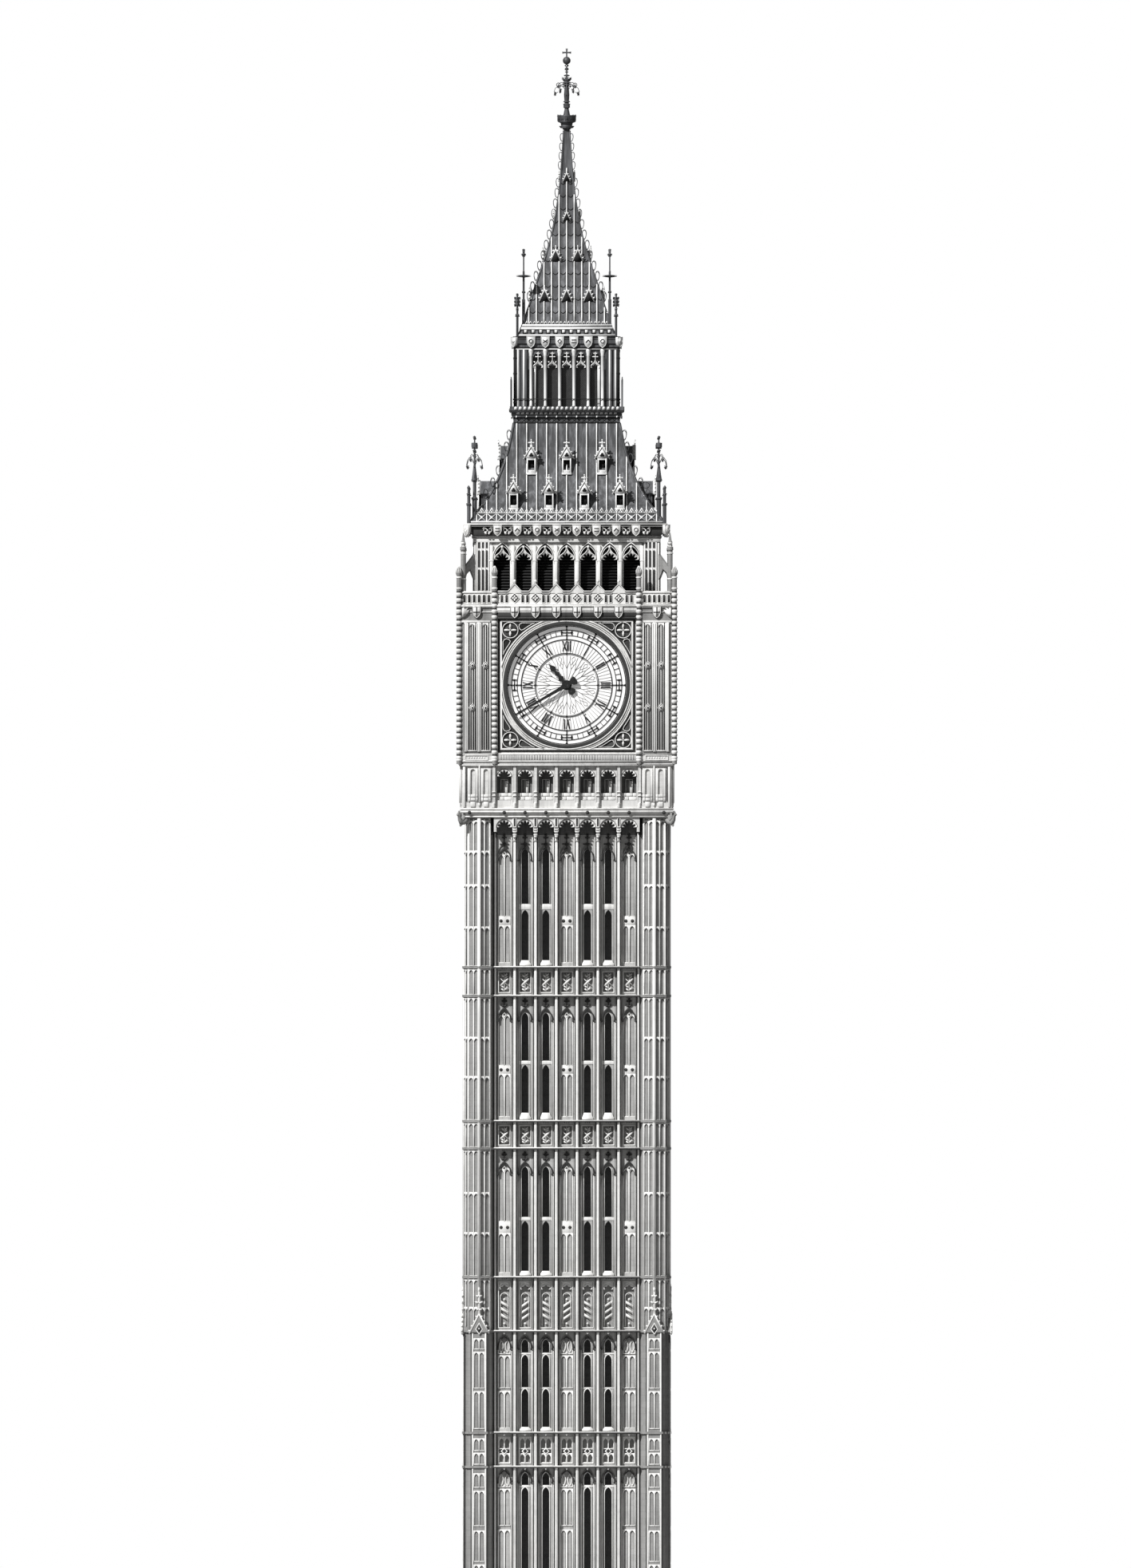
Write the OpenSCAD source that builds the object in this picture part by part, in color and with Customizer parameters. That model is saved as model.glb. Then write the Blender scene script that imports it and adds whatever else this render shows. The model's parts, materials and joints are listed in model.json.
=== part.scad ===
// Gothic clock tower, one tenth of its real size, in millimetres.
// The origin is on the ground at the middle of the plan, +Z is up and the front faces -Y.

/* [Shaft] */
// Distance between the ribs of two neighbouring bays
bay_pitch = 122; // [112:1:136]
// Radius of a corner turret, to its arrises
turret_r = 86.5; // [78:0.5:100]
// How far the wall lies behind the turrets' outer arrises
wall_recess = 80; // [60:5:90]
// How far the wall's room side lies inside the turrets' inner arrises
room_lap = 27; // [15:1:50]
// Height of the plain foot of the shaft, below its first string course
foot_h = 300; // [220:10:400]
// Width of a lancet window
lancet_w = 40; // [30:1:48]

/* [Clock stage] */
// Radius of the clock dial
dial_r = 345; // [300:5:420]
// Stone margin between the dial and the corner piers
dial_side = 67; // [50:1:90]
// Stone margin above and below the dial
dial_margin = 50; // [40:1:80]
// How far the clock stage stands out beyond the shaft
clock_overhang = 32; // [20:1:60]
// Radius of the slender shafts on the edges of the clock piers
edge_shaft_r = 14; // [10:1:18]
// Running clearance between a hand's arbor and its sleeve
arbor_gap = 0.05; // [0.02:0.01:0.09]

/* [Belfry] */
// Height of the open bell chamber
belfry_h = 400; // [340:10:480]
// Width of the walk between the parapet and the belfry
walk_w = 59; // [45:1:80]
// Side of a belfry corner pier
belfry_pier = 104; // [84:1:124]

/* [Roofs] */
// Height of the lower roof
lower_roof_h = 592; // [500:5:700]
// Height of the spire roof
spire_h = 1211; // [1000:5:1400]
// Thickness of the cast-iron roof plates and their frame
roof_t = 14; // [10:1:18]
// Distance between two neighbouring lantern posts
lantern_pitch = 84; // [76:1:92]
// Height of the open lantern
lantern_h = 340; // [290:5:400]

/* [Hidden] */
$fn = 48;
eps = 0.01;
SIDES = ["front", "right", "back", "left"];
CORNERS = ["front_right", "back_right", "back_left", "front_left"];

stone = [0.80, 0.79, 0.76];
iron = [0.36, 0.37, 0.38];
brick = [0.55, 0.50, 0.46];

bays = 7;
wall_l = bays * bay_pitch;
turret_c = wall_l / 2 + turret_r;
shaft_half = turret_c + turret_r;
wall_out = shaft_half - wall_recess;
wall_in = wall_l / 2 - room_lap;
wall_t = wall_out - wall_in;
panel_depth = 8;
band_panel_depth = 22;
band_panel_w = lancet_w + 24;
skin_t = 60;
rib_w = 16;
rib_d = 32;
embrasure_w = lancet_w + 18;
panel_w = lancet_w + 36;
pane_t = 4;
pane_edge = 4;

// Heights of the shaft's zones: foot, then window storeys and the panel bands between them.
band_h = [180, 200, 316, 160, 168];
storey_h = [792, 595, 755, 734, 877];
function sum_to(list, n) = n <= 0 ? 0 : list[n - 1] + sum_to(list, n - 1);
function band_z(i) = foot_h + sum_to(band_h, i) + sum_to(storey_h, i);
function storey_z(i) = band_z(i) + band_h[i];
shaft_top = storey_z(4) + storey_h[4];
STOREYS = [0:4];

// Each storey's lights: sill above the storey's foot, and height.
LIGHTS = [
    [[40, 630], [685, 73]],
    [[33, 222], [266, 191], [469, 79]],
    [[37, 293], [354, 295]],
    [[49, 281], [355, 281]],
    [[41, 295], [372, 323]]
];
GLAZED_BAYS = [1, 2, 4, 5];
function bay_x(i) = (i - (bays - 1) / 2) * bay_pitch;
function rib_x(i) = (i - bays / 2) * bay_pitch;
function lights_top(i) = let (l = LIGHTS[i][len(LIGHTS[i]) - 1]) l[0] + l[1];
floor_t = 30;

string_h = 13;
string_out = 13;
STRING_Z = concat([for (i = STOREYS) band_z(i)], [for (i = STOREYS) storey_z(i)]);
plinth_h = 180;
plinth_out = 30;
buttress_w = 84;
buttress_out = 6;
buttress_top = storey_z(1) + storey_h[1] - 5;
gable_h = 100;
gable_over = 10;
gable_t = 40;

corbel_h = 83;
corbel_drop = 34;
corbel_t = 20;
corbel_gap = 26;
crown_t = 8;
cornice_h = 56;
cornice_out = 24;
cornice_z = shaft_top;
arcade_z = cornice_z + cornice_h;
arcade_h = 249;
arcade_out = 16;
arcade_half = shaft_half + arcade_out;
arcade_pitch = bay_pitch;
arcade_l = bays * arcade_pitch + rib_w;
arcade_t = 110;
niche_d = 60;
niche_sill = 46;
niche_gap = 36;
niche_crown = 20;

base_z = arcade_z + arcade_h;
base_h = 72;
clock_half = shaft_half + clock_overhang;
clock_z = base_z + base_h;
clock_h = 2 * (dial_r + dial_margin);
dial_lift = 5;
dial_z = clock_z + clock_h / 2 + dial_lift;
dial_bay = dial_r + dial_side;
clock_wall_out = clock_half - 20;
clock_wall_t = 100;
ring_w = 22;
ring_d = 12;
opening_r = dial_r + 5;
glass_t = 8;
glass_out = clock_wall_out - 16;
frame_t = 4;
fit_gap = 0.3;
boss_r = 30;
sleeve_r = 16;
arbor_r = 10;
hand_t = 5;
hour_out = glass_out + frame_t + 6 + hand_t;
minute_out = hour_out + 5 + hand_t;
minute_tip = dial_r - 2;
hour_tip = 166;
MINUTES = 40;
HOURS = 10 + MINUTES / 60;

frieze_z = clock_z + clock_h;
frieze_h = 77;
belfry_z = frieze_z + frieze_h;
parapet_h = 84;
parapet_t = 20;
parapet_half = clock_half - 8;
gablet_rise = 32;
edge_shaft_rise = 169;
edge_shaft_top = belfry_z + edge_shaft_rise;
onion_r = 19;
onion_h = 58;
edge_shaft_x = dial_bay + 11;

belfry_half = parapet_half - parapet_t - walk_w;
belfry_l = 2 * (belfry_half - belfry_pier);
belfry_pitch = belfry_l / bays;
mullion_w = 26;
mullion_d = 60;
arch_spring = belfry_h - 120;
arch_t = 40;
louvre_t = 6;
belfry_arch_w = belfry_pitch - mullion_w + 4;
pinnacle_r = 14;
pinnacle_gap = 2.5;
pinnacle_c = clock_half - (onion_r + pinnacle_r + pinnacle_gap) / sqrt(2);
pinnacle_h = 427;
pinnacle_cone = 107;
strut_t = 16;

belfry_cornice_z = belfry_z + belfry_h;
belfry_cornice_h = 80;
roof_z = belfry_cornice_z + belfry_cornice_h;
eaves_half = belfry_half + 30;
lantern_openings = 5;
lantern_corner = 72;
lantern_half = lantern_openings * lantern_pitch / 2 + lantern_corner + 25;
neck_half = lantern_half + 4;
// Flare of the lower roof: share of its height, and share of its spread left there.
LOWER_FLARE = [[0, 1], [0.10, 0.845], [0.19, 0.67], [0.32, 0.481], [0.44, 0.348], [0.60, 0.205], [0.76, 0.102], [1, 0]];
LOWER_ROOF = [for (f = LOWER_FLARE) [f[0], neck_half + (eaves_half - neck_half) * f[1]]];
function lower_half(z) = lookup((z - roof_z) / lower_roof_h, LOWER_ROOF);
dormer_pitch = 208;
dormer_w = 54;
dormer_h = 92;
dormer_open_w = 37;
dormer_open_h = 63;
dormer_gable_w = 81;
dormer_gable_h = 71;

gallery_z = roof_z + lower_roof_h;
gallery_h = 96;
gallery_half = lantern_half + 28;
lantern_z = gallery_z + gallery_h;
lantern_post = 22;
lantern_post_d = 34;
lantern_head = 123;
lantern_cornice_z = lantern_z + lantern_h;
lantern_cornice_h = 73;
spire_z = lantern_cornice_z + lantern_cornice_h;
spire_foot = lantern_half - 22;
spire_neck = 18;
// Flare of the spire, in the same shares.
SPIRE_FLARE = [
    [0, 1], [0.073, 0.869], [0.19, 0.70], [0.29, 0.55], [0.388, 0.397], [0.487, 0.27],
    [0.585, 0.176], [0.684, 0.109], [0.782, 0.06], [0.95, 0.0075], [1, 0]
];
SPIRE = [for (f = SPIRE_FLARE) [f[0], spire_neck + (spire_foot - spire_neck) * f[1]]];
function spire_half(z) = lookup((z - spire_z) / spire_h, SPIRE);
spire_top = spire_z + spire_h;
crown_h = 90;
cross_z = spire_top + crown_h;

// Points on an arc about a centre, from angle a0 to a1.
function arc(c, r, a0, a1, n) = [for (i = [0:n]) let (a = a0 + (a1 - a0) * i / n) c + r * [cos(a), sin(a)]];
// Equilateral pointed arch, w wide and h high over all, standing on the X axis.
head_share = sin(60);
function pointed(w, h) = let (s = h - w * head_share) concat(
    [[-w / 2, 0], [w / 2, 0]],
    arc([-w / 2, s], w, 0, 50, 4), [[0, h]], arc([w / 2, s], w, 130, 180, 4)
);
// Round arch, the same way.
function rounded(w, h) = concat([[-w / 2, 0], [w / 2, 0]], arc([0, h - w / 2], w / 2, 0, 180, 12));

// A flat plate standing across the front, its outer face at -out.
module plate(out, t) {
    translate([0, t - out, 0]) rotate([90, 0, 0]) linear_extrude(t) children();
}

module all_sides() {
    for (k = [0:3]) rotate([0, 0, 90 * k]) children();
}

module all_corners() {
    for (k = [0:3]) rotate([0, 0, 90 * k]) children();
}

// A bar across the front: x from -l/2 to l/2, outer face at -out, from z to z + h.
module bar(l, out, t, z, h) {
    translate([-l / 2, -out, z]) cube([l, t, h]);
}

module square_slab(half, z, h) {
    translate([-half, -half, z]) cube([2 * half, 2 * half, h]);
}

// ---- shaft ----

module storey_panels_2d() {
    for (i = STOREYS, b = [0:bays - 1])
        translate([bay_x(b), storey_z(i) + 24]) polygon(pointed(panel_w, lights_top(i) + 8));
}

module band_panels_2d() {
    for (i = STOREYS, b = [0:bays - 1])
        translate([bay_x(b) - band_panel_w / 2, band_z(i) + 22]) square([band_panel_w, band_h[i] - 50]);
}

module wall_lights_2d() {
    for (i = STOREYS, b = GLAZED_BAYS, l = LIGHTS[i])
        translate([bay_x(b), storey_z(i) + l[0]]) polygon(pointed(lancet_w, l[1]));
}

module wall_plate_2d() {
    translate([-wall_l / 2, 0]) square([wall_l, shaft_top]);
}

module brick_lining() {
    lining_out = wall_out - skin_t;
    difference() {
        linear_extrude(shaft_top) polygon([
            [-wall_l / 2, -lining_out], [wall_l / 2, -lining_out], [wall_l / 2, -wall_l / 2],
            [wall_in, -wall_in], [-wall_in, -wall_in], [-wall_l / 2, -wall_l / 2]
        ]);
        for (i = STOREYS, b = GLAZED_BAYS)
            translate([bay_x(b) - embrasure_w / 2, -lining_out - 1, storey_z(i) + LIGHTS[i][0][0] - 8])
                cube([embrasure_w, wall_t, lights_top(i) - LIGHTS[i][0][0] + 16]);
    }
}

module shaft_wall() {
    color(stone) {
        plate(wall_out, panel_depth) difference() {
            wall_plate_2d();
            storey_panels_2d();
            band_panels_2d();
        }
        plate(wall_out - panel_depth, band_panel_depth - panel_depth) difference() {
            wall_plate_2d();
            wall_lights_2d();
            band_panels_2d();
        }
        plate(wall_out - band_panel_depth, skin_t - band_panel_depth) difference() {
            wall_plate_2d();
            wall_lights_2d();
        }
        for (i = [1:bays - 1])
            translate([rib_x(i) - rib_w / 2, -wall_out - rib_d, 0])
                cube([rib_w, rib_d + 1, shaft_top - corbel_h - corbel_drop]);
        for (z = STRING_Z) bar(wall_l, wall_out + rib_d + string_out - 1, rib_d + string_out, z - string_h / 2, string_h);
        bar(wall_l, wall_out + rib_d + plinth_out, rib_d + plinth_out + 1, 0, plinth_h);
    }
    color(brick) brick_lining();
}

module turret_outline(grow) {
    intersection() {
        translate([turret_c, -turret_c]) circle(turret_r + grow, $fn = 8);
        translate([wall_l / 2, -turret_c - turret_r - grow]) square(2 * turret_r + grow);
    }
}

module buttress_outline(grow) {
    w = buttress_w + 2 * grow;
    translate([turret_c - w / 2, -shaft_half - buttress_out - grow]) square([w, turret_r + grow]);
    translate([turret_c, -turret_c - w / 2]) square([turret_r + buttress_out + grow, w]);
}

module gable_slab() {
    w = buttress_w + 2 * gable_over;
    translate([turret_c, gable_t - shaft_half - buttress_out - gable_over, buttress_top])
        rotate([90, 0, 0]) linear_extrude(gable_t) polygon([[-w / 2, 0], [w / 2, 0], [0, gable_h]]);
}

module corner_turret() {
    color(stone) {
        linear_extrude(shaft_top) {
            turret_outline(0);
            translate([wall_l / 2, -wall_out]) square(wall_out - wall_l / 2);
        }
        linear_extrude(buttress_top) buttress_outline(0);
        for (z = STRING_Z) translate([0, 0, z - string_h / 2]) linear_extrude(string_h) {
            turret_outline(string_out);
            if (z < buttress_top) buttress_outline(string_out - 5);
        }
        linear_extrude(plinth_h) {
            turret_outline(plinth_out);
            buttress_outline(plinth_out - buttress_out);
        }
        gable_slab();
        mirror([1, 1, 0]) gable_slab();
    }
}

module window_glass() {
    color([0.1, 0.12, 0.14]) all_sides() for (i = STOREYS, b = GLAZED_BAYS)
        translate([bay_x(b) - embrasure_w / 2 + pane_edge, skin_t - wall_out, storey_z(i) + LIGHTS[i][0][0] - 4])
            cube([embrasure_w - 2 * pane_edge, pane_t, lights_top(i) - LIGHTS[i][0][0] + 8]);
}

module storey_floors() {
    color(brick) {
        square_slab(wall_in, 0, floor_t);
        for (i = STOREYS) square_slab(wall_in, band_z(i) + band_h[i] / 2 - floor_t / 2, floor_t);
    }
}

module corbel_arcade() {
    out = shaft_half;
    z = shaft_top - corbel_h;
    color(stone) all_sides() {
        plate(out, corbel_t) difference() {
            translate([-wall_l / 2, z]) square([wall_l, corbel_h]);
            for (b = [0:bays - 1]) translate([bay_x(b), z - 1])
                polygon(rounded(bay_pitch - corbel_gap, corbel_h + 1 - crown_t));
        }
        for (i = [1:bays - 1])
            translate([rib_x(i) - rib_w / 2, -out + 2, z - corbel_drop])
                cube([rib_w, out - wall_out - 2, corbel_h + corbel_drop]);
        for (s = [-1, 1]) translate([s * (wall_l / 2 - rib_w / 2) - rib_w / 2, -out + 2, z])
            cube([rib_w, out - wall_out - 2, corbel_h]);
    }
}

module shaft_cornice() {
    color(stone) {
        square_slab(shaft_half + cornice_out / 3, cornice_z, cornice_h / 2);
        square_slab(shaft_half + cornice_out, cornice_z + cornice_h / 2 - eps, cornice_h / 2 + eps);
    }
}

// ---- arcade below the clock ----

// Four niche walls between four corner piers.
module arcade_storey() {
    side = arcade_half - arcade_l / 2;
    color(stone) all_corners()
        translate([arcade_l / 2, -arcade_half, arcade_z]) cube([side, side, arcade_h]);
    color(stone) all_sides() {
        plate(arcade_half - 10, niche_d) difference() {
            translate([-arcade_l / 2, arcade_z]) square([arcade_l, arcade_h]);
            for (b = [0:bays - 1])
                translate([bay_x(b), arcade_z + niche_sill])
                    polygon(rounded(arcade_pitch - niche_gap, arcade_h - niche_sill - niche_crown));
        }
        bar(arcade_l, arcade_half - 10 - niche_d, arcade_t - niche_d, arcade_z, arcade_h);
        for (i = [0:bays]) translate([rib_x(i) - rib_w / 2, -arcade_half - 4, arcade_z + 8])
            cube([rib_w, 15, arcade_h - 8]);
    }
}

module edge_shafts_2d(grow = 0) {
    for (k = [0:3]) rotate(90 * k) {
        translate([clock_half, -clock_half]) circle(edge_shaft_r + grow, $fn = 8);
        for (s = [-1, 1]) translate([s * edge_shaft_x, -clock_half]) circle(edge_shaft_r + grow, $fn = 8);
    }
}

module clock_base_course() {
    color(stone) difference() {
        union() {
            square_slab(arcade_half + 8, base_z, base_h / 3);
            square_slab(clock_half - 4, base_z + base_h / 3 - eps, 2 * base_h / 3 + eps);
        }
        translate([0, 0, base_z - 1]) linear_extrude(base_h + 2) edge_shafts_2d();
    }
}

// ---- clock stage ----

module clock_piers() {
    side = clock_half - dial_bay;
    color(stone) {
        all_corners() translate([dial_bay, -clock_half, clock_z]) cube([side, side, clock_h]);
        translate([0, 0, base_z + 9]) linear_extrude(edge_shaft_top - base_z - 9) edge_shafts_2d();
        for (k = [0:3]) rotate([0, 0, 90 * k])
            for (x = [-edge_shaft_x, edge_shaft_x, clock_half])
                translate([x, -clock_half, edge_shaft_top - eps])
                    rotate_extrude() polygon([
                        [0, 0], [edge_shaft_r - 3, 0], [edge_shaft_r, 6], [edge_shaft_r + 1, 8],
                        [onion_r, 20], [onion_r - 2, 30], [8, 45], [3, onion_h], [0, onion_h]
                    ]);
    }
}

module clock_walls() {
    color(stone) all_sides() {
        plate(clock_wall_out, clock_wall_t) difference() {
            translate([-dial_bay, clock_z]) square([2 * dial_bay, clock_h]);
            translate([0, dial_z]) circle(opening_r, $fn = 96);
        }
        plate(clock_wall_out + ring_d, ring_d + 1) translate([0, dial_z]) difference() {
            circle(opening_r + ring_w, $fn = 96);
            circle(opening_r, $fn = 96);
        }
    }
}

module dial_glass() {
    color([0.95, 0.95, 0.93]) all_sides() plate(glass_out, glass_t) translate([0, dial_z]) difference() {
        circle(opening_r - fit_gap, $fn = 96);
        circle(boss_r, $fn = 48);
    }
}

// Rings of the iron dial frame, as inner and outer radii.
DIAL_RINGS = [[341, 349], [314, 319], [284, 288], [260, 267], [186, 190], [172, 177]];
dial_scale = dial_r / 345;

module dial_frames() {
    color(iron) all_sides() {
        plate(glass_out + frame_t, frame_t) translate([0, dial_z]) difference() {
            union() {
                for (r = DIAL_RINGS) difference() {
                    circle(r[1] * dial_scale, $fn = 96);
                    circle(r[0] * dial_scale, $fn = 96);
                }
                for (a = [0:30:150]) rotate(a) square([2 * dial_r, 3], center = true);
                circle(boss_r, $fn = 48);
            }
            circle(sleeve_r + arbor_gap, $fn = 48);
        }
        plate(glass_out + 1, glass_t + 1) translate([0, dial_z]) difference() {
            circle(boss_r, $fn = 48);
            circle(sleeve_r + arbor_gap, $fn = 48);
        }
    }
}

// Outlines of the hands, pointing up, about the arbor.
function mirrored(half) = concat(half, [for (i = [len(half) - 1:-1:0]) [-half[i][0], half[i][1]]]);
MINUTE_HALF = [
    [9, -66], [27, -58], [20, -40], [8, -20], [17, 0], [13, 18], [10, 60],
    [4.5, minute_tip - 40], [10, minute_tip - 30], [0.8, minute_tip]
];
HOUR_HALF = [
    [14, -66], [23, -52], [20, -38], [8, -24], [20, 0], [10, 26], [9, 34], [19, 52], [9, 64],
    [8, 72], [17, 88], [7, 96], [6, 104], [19, 122], [13, 136], [4, 148], [0.8, hour_tip]
];

module hand(out, outline, hub_r, turn) {
    plate(out, hand_t) translate([0, dial_z]) rotate(-turn) union() {
        polygon(mirrored(outline));
        circle(hub_r);
    }
}

module minute_hand() {
    color([0.1, 0.1, 0.11]) {
        hand(minute_out, MINUTE_HALF, 19, MINUTES * 6);
        plate(minute_out - hand_t + eps, minute_out - glass_out + glass_t + 10) translate([0, dial_z]) circle(arbor_r);
    }
}

module hour_hand() {
    color([0.1, 0.1, 0.11]) difference() {
        union() {
            hand(hour_out, HOUR_HALF, 23, HOURS * 30);
            plate(hour_out - hand_t + eps, hour_out - glass_out + glass_t - hand_t + 6)
                translate([0, dial_z]) circle(sleeve_r);
        }
        plate(hour_out + 1, 60) translate([0, dial_z]) circle(arbor_r + arbor_gap);
    }
}

module clock_cornice() {
    color(stone) difference() {
        union() {
            square_slab(clock_half - 2, frieze_z, frieze_h);
            square_slab(clock_half + 6, belfry_z - 14, 14);
        }
        translate([0, 0, frieze_z - 1]) linear_extrude(frieze_h + 2) edge_shafts_2d();
    }
}

module clock_parapet() {
    color(stone) difference() {
        all_sides() {
            bar(2 * (parapet_half - parapet_t), parapet_half, parapet_t, belfry_z, parapet_h);
            for (i = [1:bays - 1]) plate(parapet_half + 4, parapet_t) translate([rib_x(i), belfry_z + parapet_h])
                polygon([[-36, -12], [36, -12], [36, 0], [0, gablet_rise], [-36, 0]]);
        }
        translate([0, 0, belfry_z - 1]) linear_extrude(2 * parapet_h) edge_shafts_2d();
        pinnacle_posts();
    }
}

// ---- belfry ----

module belfry_piers() {
    color(stone) all_corners()
        translate([belfry_l / 2, -belfry_half, belfry_z]) cube([belfry_pier, belfry_pier, belfry_h]);
}

module belfry_mullions() {
    color(stone) all_sides() for (i = [1:bays - 1])
        translate([(i - bays / 2) * belfry_pitch - mullion_w / 2, 4 - belfry_half, belfry_z])
            cube([mullion_w, mullion_d, arch_spring]);
}

module belfry_arches() {
    color(stone) all_sides() plate(belfry_half - 8, arch_t) difference() {
        translate([-belfry_l / 2, belfry_z + arch_spring]) square([belfry_l, belfry_h - arch_spring]);
        for (b = [0:bays - 1]) translate([(b - (bays - 1) / 2) * belfry_pitch, belfry_z + arch_spring - 1])
            polygon(pointed(belfry_arch_w, belfry_h - arch_spring - 34));
    }
}

module belfry_louvres() {
    color([0.08, 0.08, 0.09]) all_sides()
        bar(belfry_l, belfry_half - 4 - mullion_d, louvre_t, belfry_z, belfry_h);
}

module pinnacle_posts() {
    all_corners() translate([pinnacle_c, -pinnacle_c, belfry_z])
        cylinder(r = pinnacle_r, h = pinnacle_h - pinnacle_cone, $fn = 8);
}

// The curved prop between a pinnacle and the belfry's corner pier, along the diagonal.
module flying_strut() {
    r_in = belfry_half * sqrt(2) - 14;
    r_out = pinnacle_c * sqrt(2);
    rotate([0, 0, -45]) translate([0, strut_t / 2, belfry_z]) rotate([90, 0, 0])
        linear_extrude(strut_t) polygon(concat(
            [[r_out, 140], [r_out, 215], [r_in, 312]],
            arc([r_out - 4, 130], r_out - r_in - 4, 180, 120, 1),
            [[r_out - 20, 190]]
        ));
}

module belfry_pinnacles() {
    color(stone) {
        pinnacle_posts();
        all_corners() {
            translate([pinnacle_c, -pinnacle_c, belfry_z + pinnacle_h - pinnacle_cone - eps])
                rotate_extrude() polygon([
                    [0, 0], [pinnacle_r - 2, 0], [pinnacle_r + 4, 6], [pinnacle_r + 3, 22], [9, 28],
                    [9, 46], [13, 52], [8, 60], [1.5, pinnacle_cone], [0, pinnacle_cone]
                ]);
            difference() {
                flying_strut();
                translate([belfry_l / 2, -belfry_half, belfry_z]) cube([belfry_pier, belfry_pier, belfry_h]);
            }
        }
    }
}

module belfry_cornice() {
    z = belfry_cornice_z;
    color(stone) {
        square_slab(belfry_half + 7, z, 22);
        square_slab(belfry_half + 22, z + 22 - eps, 40 + eps);
        square_slab(belfry_half + 42, z + 62 - eps, 18 + eps);
    }
}

// ---- roofs ----

// A four-sided curved roof: PROFILE gives shares of the height and half widths, t is the shell's thickness.
function ring(half, z) = [[-half, -half, z], [half, -half, z], [half, half, z], [-half, half, z]];
module roof_shell(profile, z0, h, t) {
    n = len(profile);
    outer = [for (p = profile) each ring(p[1], z0 + p[0] * h)];
    inner = [for (p = profile) each ring(p[1] - t, z0 + p[0] * h)];
    sides = [for (i = [0:n - 2], k = [0:3]) let (a = 4 * i + k, b = 4 * i + (k + 1) % 4) [a, a + 4, b + 4, b]];
    polyhedron(
        points = concat(outer, inner),
        faces = concat(
            sides,
            [for (f = sides) [for (j = [3:-1:0]) f[j] + 4 * n]],
            [for (k = [0:3]) let (m = (k + 1) % 4) [k, m, m + 4 * n, k + 4 * n]],
            [for (k = [0:3]) let (m = (k + 1) % 4, e = 4 * (n - 1)) [e + k, e + k + 4 * n, e + m + 4 * n, e + m]]
        )
    );
}

// The same roof as a filled block, used to trim what stands on it.
module roof_block(profile, z0, h) {
    n = len(profile);
    sides = [for (i = [0:n - 2], k = [0:3]) let (a = 4 * i + k, b = 4 * i + (k + 1) % 4) [a, a + 4, b + 4, b]];
    polyhedron(
        points = [for (p = profile) each ring(p[1], z0 + p[0] * h)],
        faces = concat(sides, [[0, 1, 2, 3]], [[4 * n - 1, 4 * n - 2, 4 * n - 3, 4 * n - 4]])
    );
}

module belfry_roof() {
    color(iron) roof_shell(LOWER_ROOF, roof_z, lower_roof_h, roof_t);
}

module dormer(x, z, depth) {
    front = lower_half(z) + 6;
    translate([x, 0, z]) difference() {
        union() {
            plate(front, depth) translate([-dormer_w / 2, 0]) square([dormer_w, dormer_h]);
            plate(front + 5, depth) polygon([
                [-dormer_gable_w / 2, dormer_h - 4], [dormer_gable_w / 2, dormer_h - 4],
                [dormer_gable_w / 2, dormer_h], [0, dormer_h + dormer_gable_h], [-dormer_gable_w / 2, dormer_h]
            ]);
        }
        plate(front + 6, 30) translate([-dormer_open_w / 2, 18]) square([dormer_open_w, dormer_open_h]);
    }
}

module roof_dormers() {
    color(stone) all_sides() difference() {
        union() {
            for (i = [-1.5:1:1.5]) dormer(i * dormer_pitch, roof_z + 88, 140);
            for (i = [-1:1]) dormer(i * dormer_pitch, roof_z + 295, 90);
        }
        roof_block(LOWER_ROOF, roof_z, lower_roof_h);
    }
}

// A slender mast: a turned outline standing at a point of the corner diagonal.
module corner_mast(c, z, outline) {
    all_corners() translate([c, -c, z]) rotate_extrude() polygon(concat([[0, 0]], outline));
}

// The masts at the eaves' corners of the lower roof, and those of the spire.
module roof_finials() {
    lower_masts();
    spire_masts();
}

module lower_masts() {
    color(iron) difference() {
        union() {
            corner_mast(belfry_half - 4, roof_z, [
                [13, 0], [13, 143], [18, 147], [18, 152], [9, 156], [9, 250], [17, 254], [17, 262], [15, 264],
                [5, 350], [5, 425], [9, 427], [9, 430], [3, 432], [3, 445], [18, 447], [18, 473], [3, 475],
                [3, 498], [7, 505], [7, 511], [0, 516]
            ]);
            corner_mast(belfry_half + 30, roof_z, [
                [9.5, 0], [9.5, 110], [14, 114], [14, 118], [8, 120], [8, 170], [12, 172], [12, 175],
                [7, 178], [7, 205], [9, 208], [9, 213], [3, 222], [0, 224]
            ]);
        }
        roof_block(LOWER_ROOF, roof_z, lower_roof_h);
    }
}

module spire_masts() {
    color(iron) difference() {
        union() {
            corner_mast(lantern_half - 54, spire_z, [
                [9, 0], [9, 210], [6, 214], [6, 380], [4, 386], [4, 470], [8, 473], [8, 478],
                [5, 482], [7, 495], [7, 503], [0, 514]
            ]);
            corner_mast(lantern_half - 17, spire_z, [
                [7, 0], [7, 120], [11, 124], [11, 128], [6, 132], [6, 180], [10, 190], [10, 222],
                [6, 232], [4, 244], [0, 252]
            ]);
        }
        roof_block(SPIRE, spire_z, spire_h);
    }
}

// ---- lantern and spire ----

module lantern_gallery() {
    color(iron) {
        square_slab(neck_half, gallery_z, 36);
        square_slab(gallery_half - 13, gallery_z + 36 - eps, 28 + eps);
        square_slab(gallery_half, gallery_z + 64 - eps, gallery_h - 64 + eps);
        all_corners() translate([gallery_half - 14, 4 - gallery_half, lantern_z - eps]) {
            cube([10, 10, 160]);
            translate([2, 2, 159]) cube([6, 6, 15]);
        }
    }
}

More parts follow.
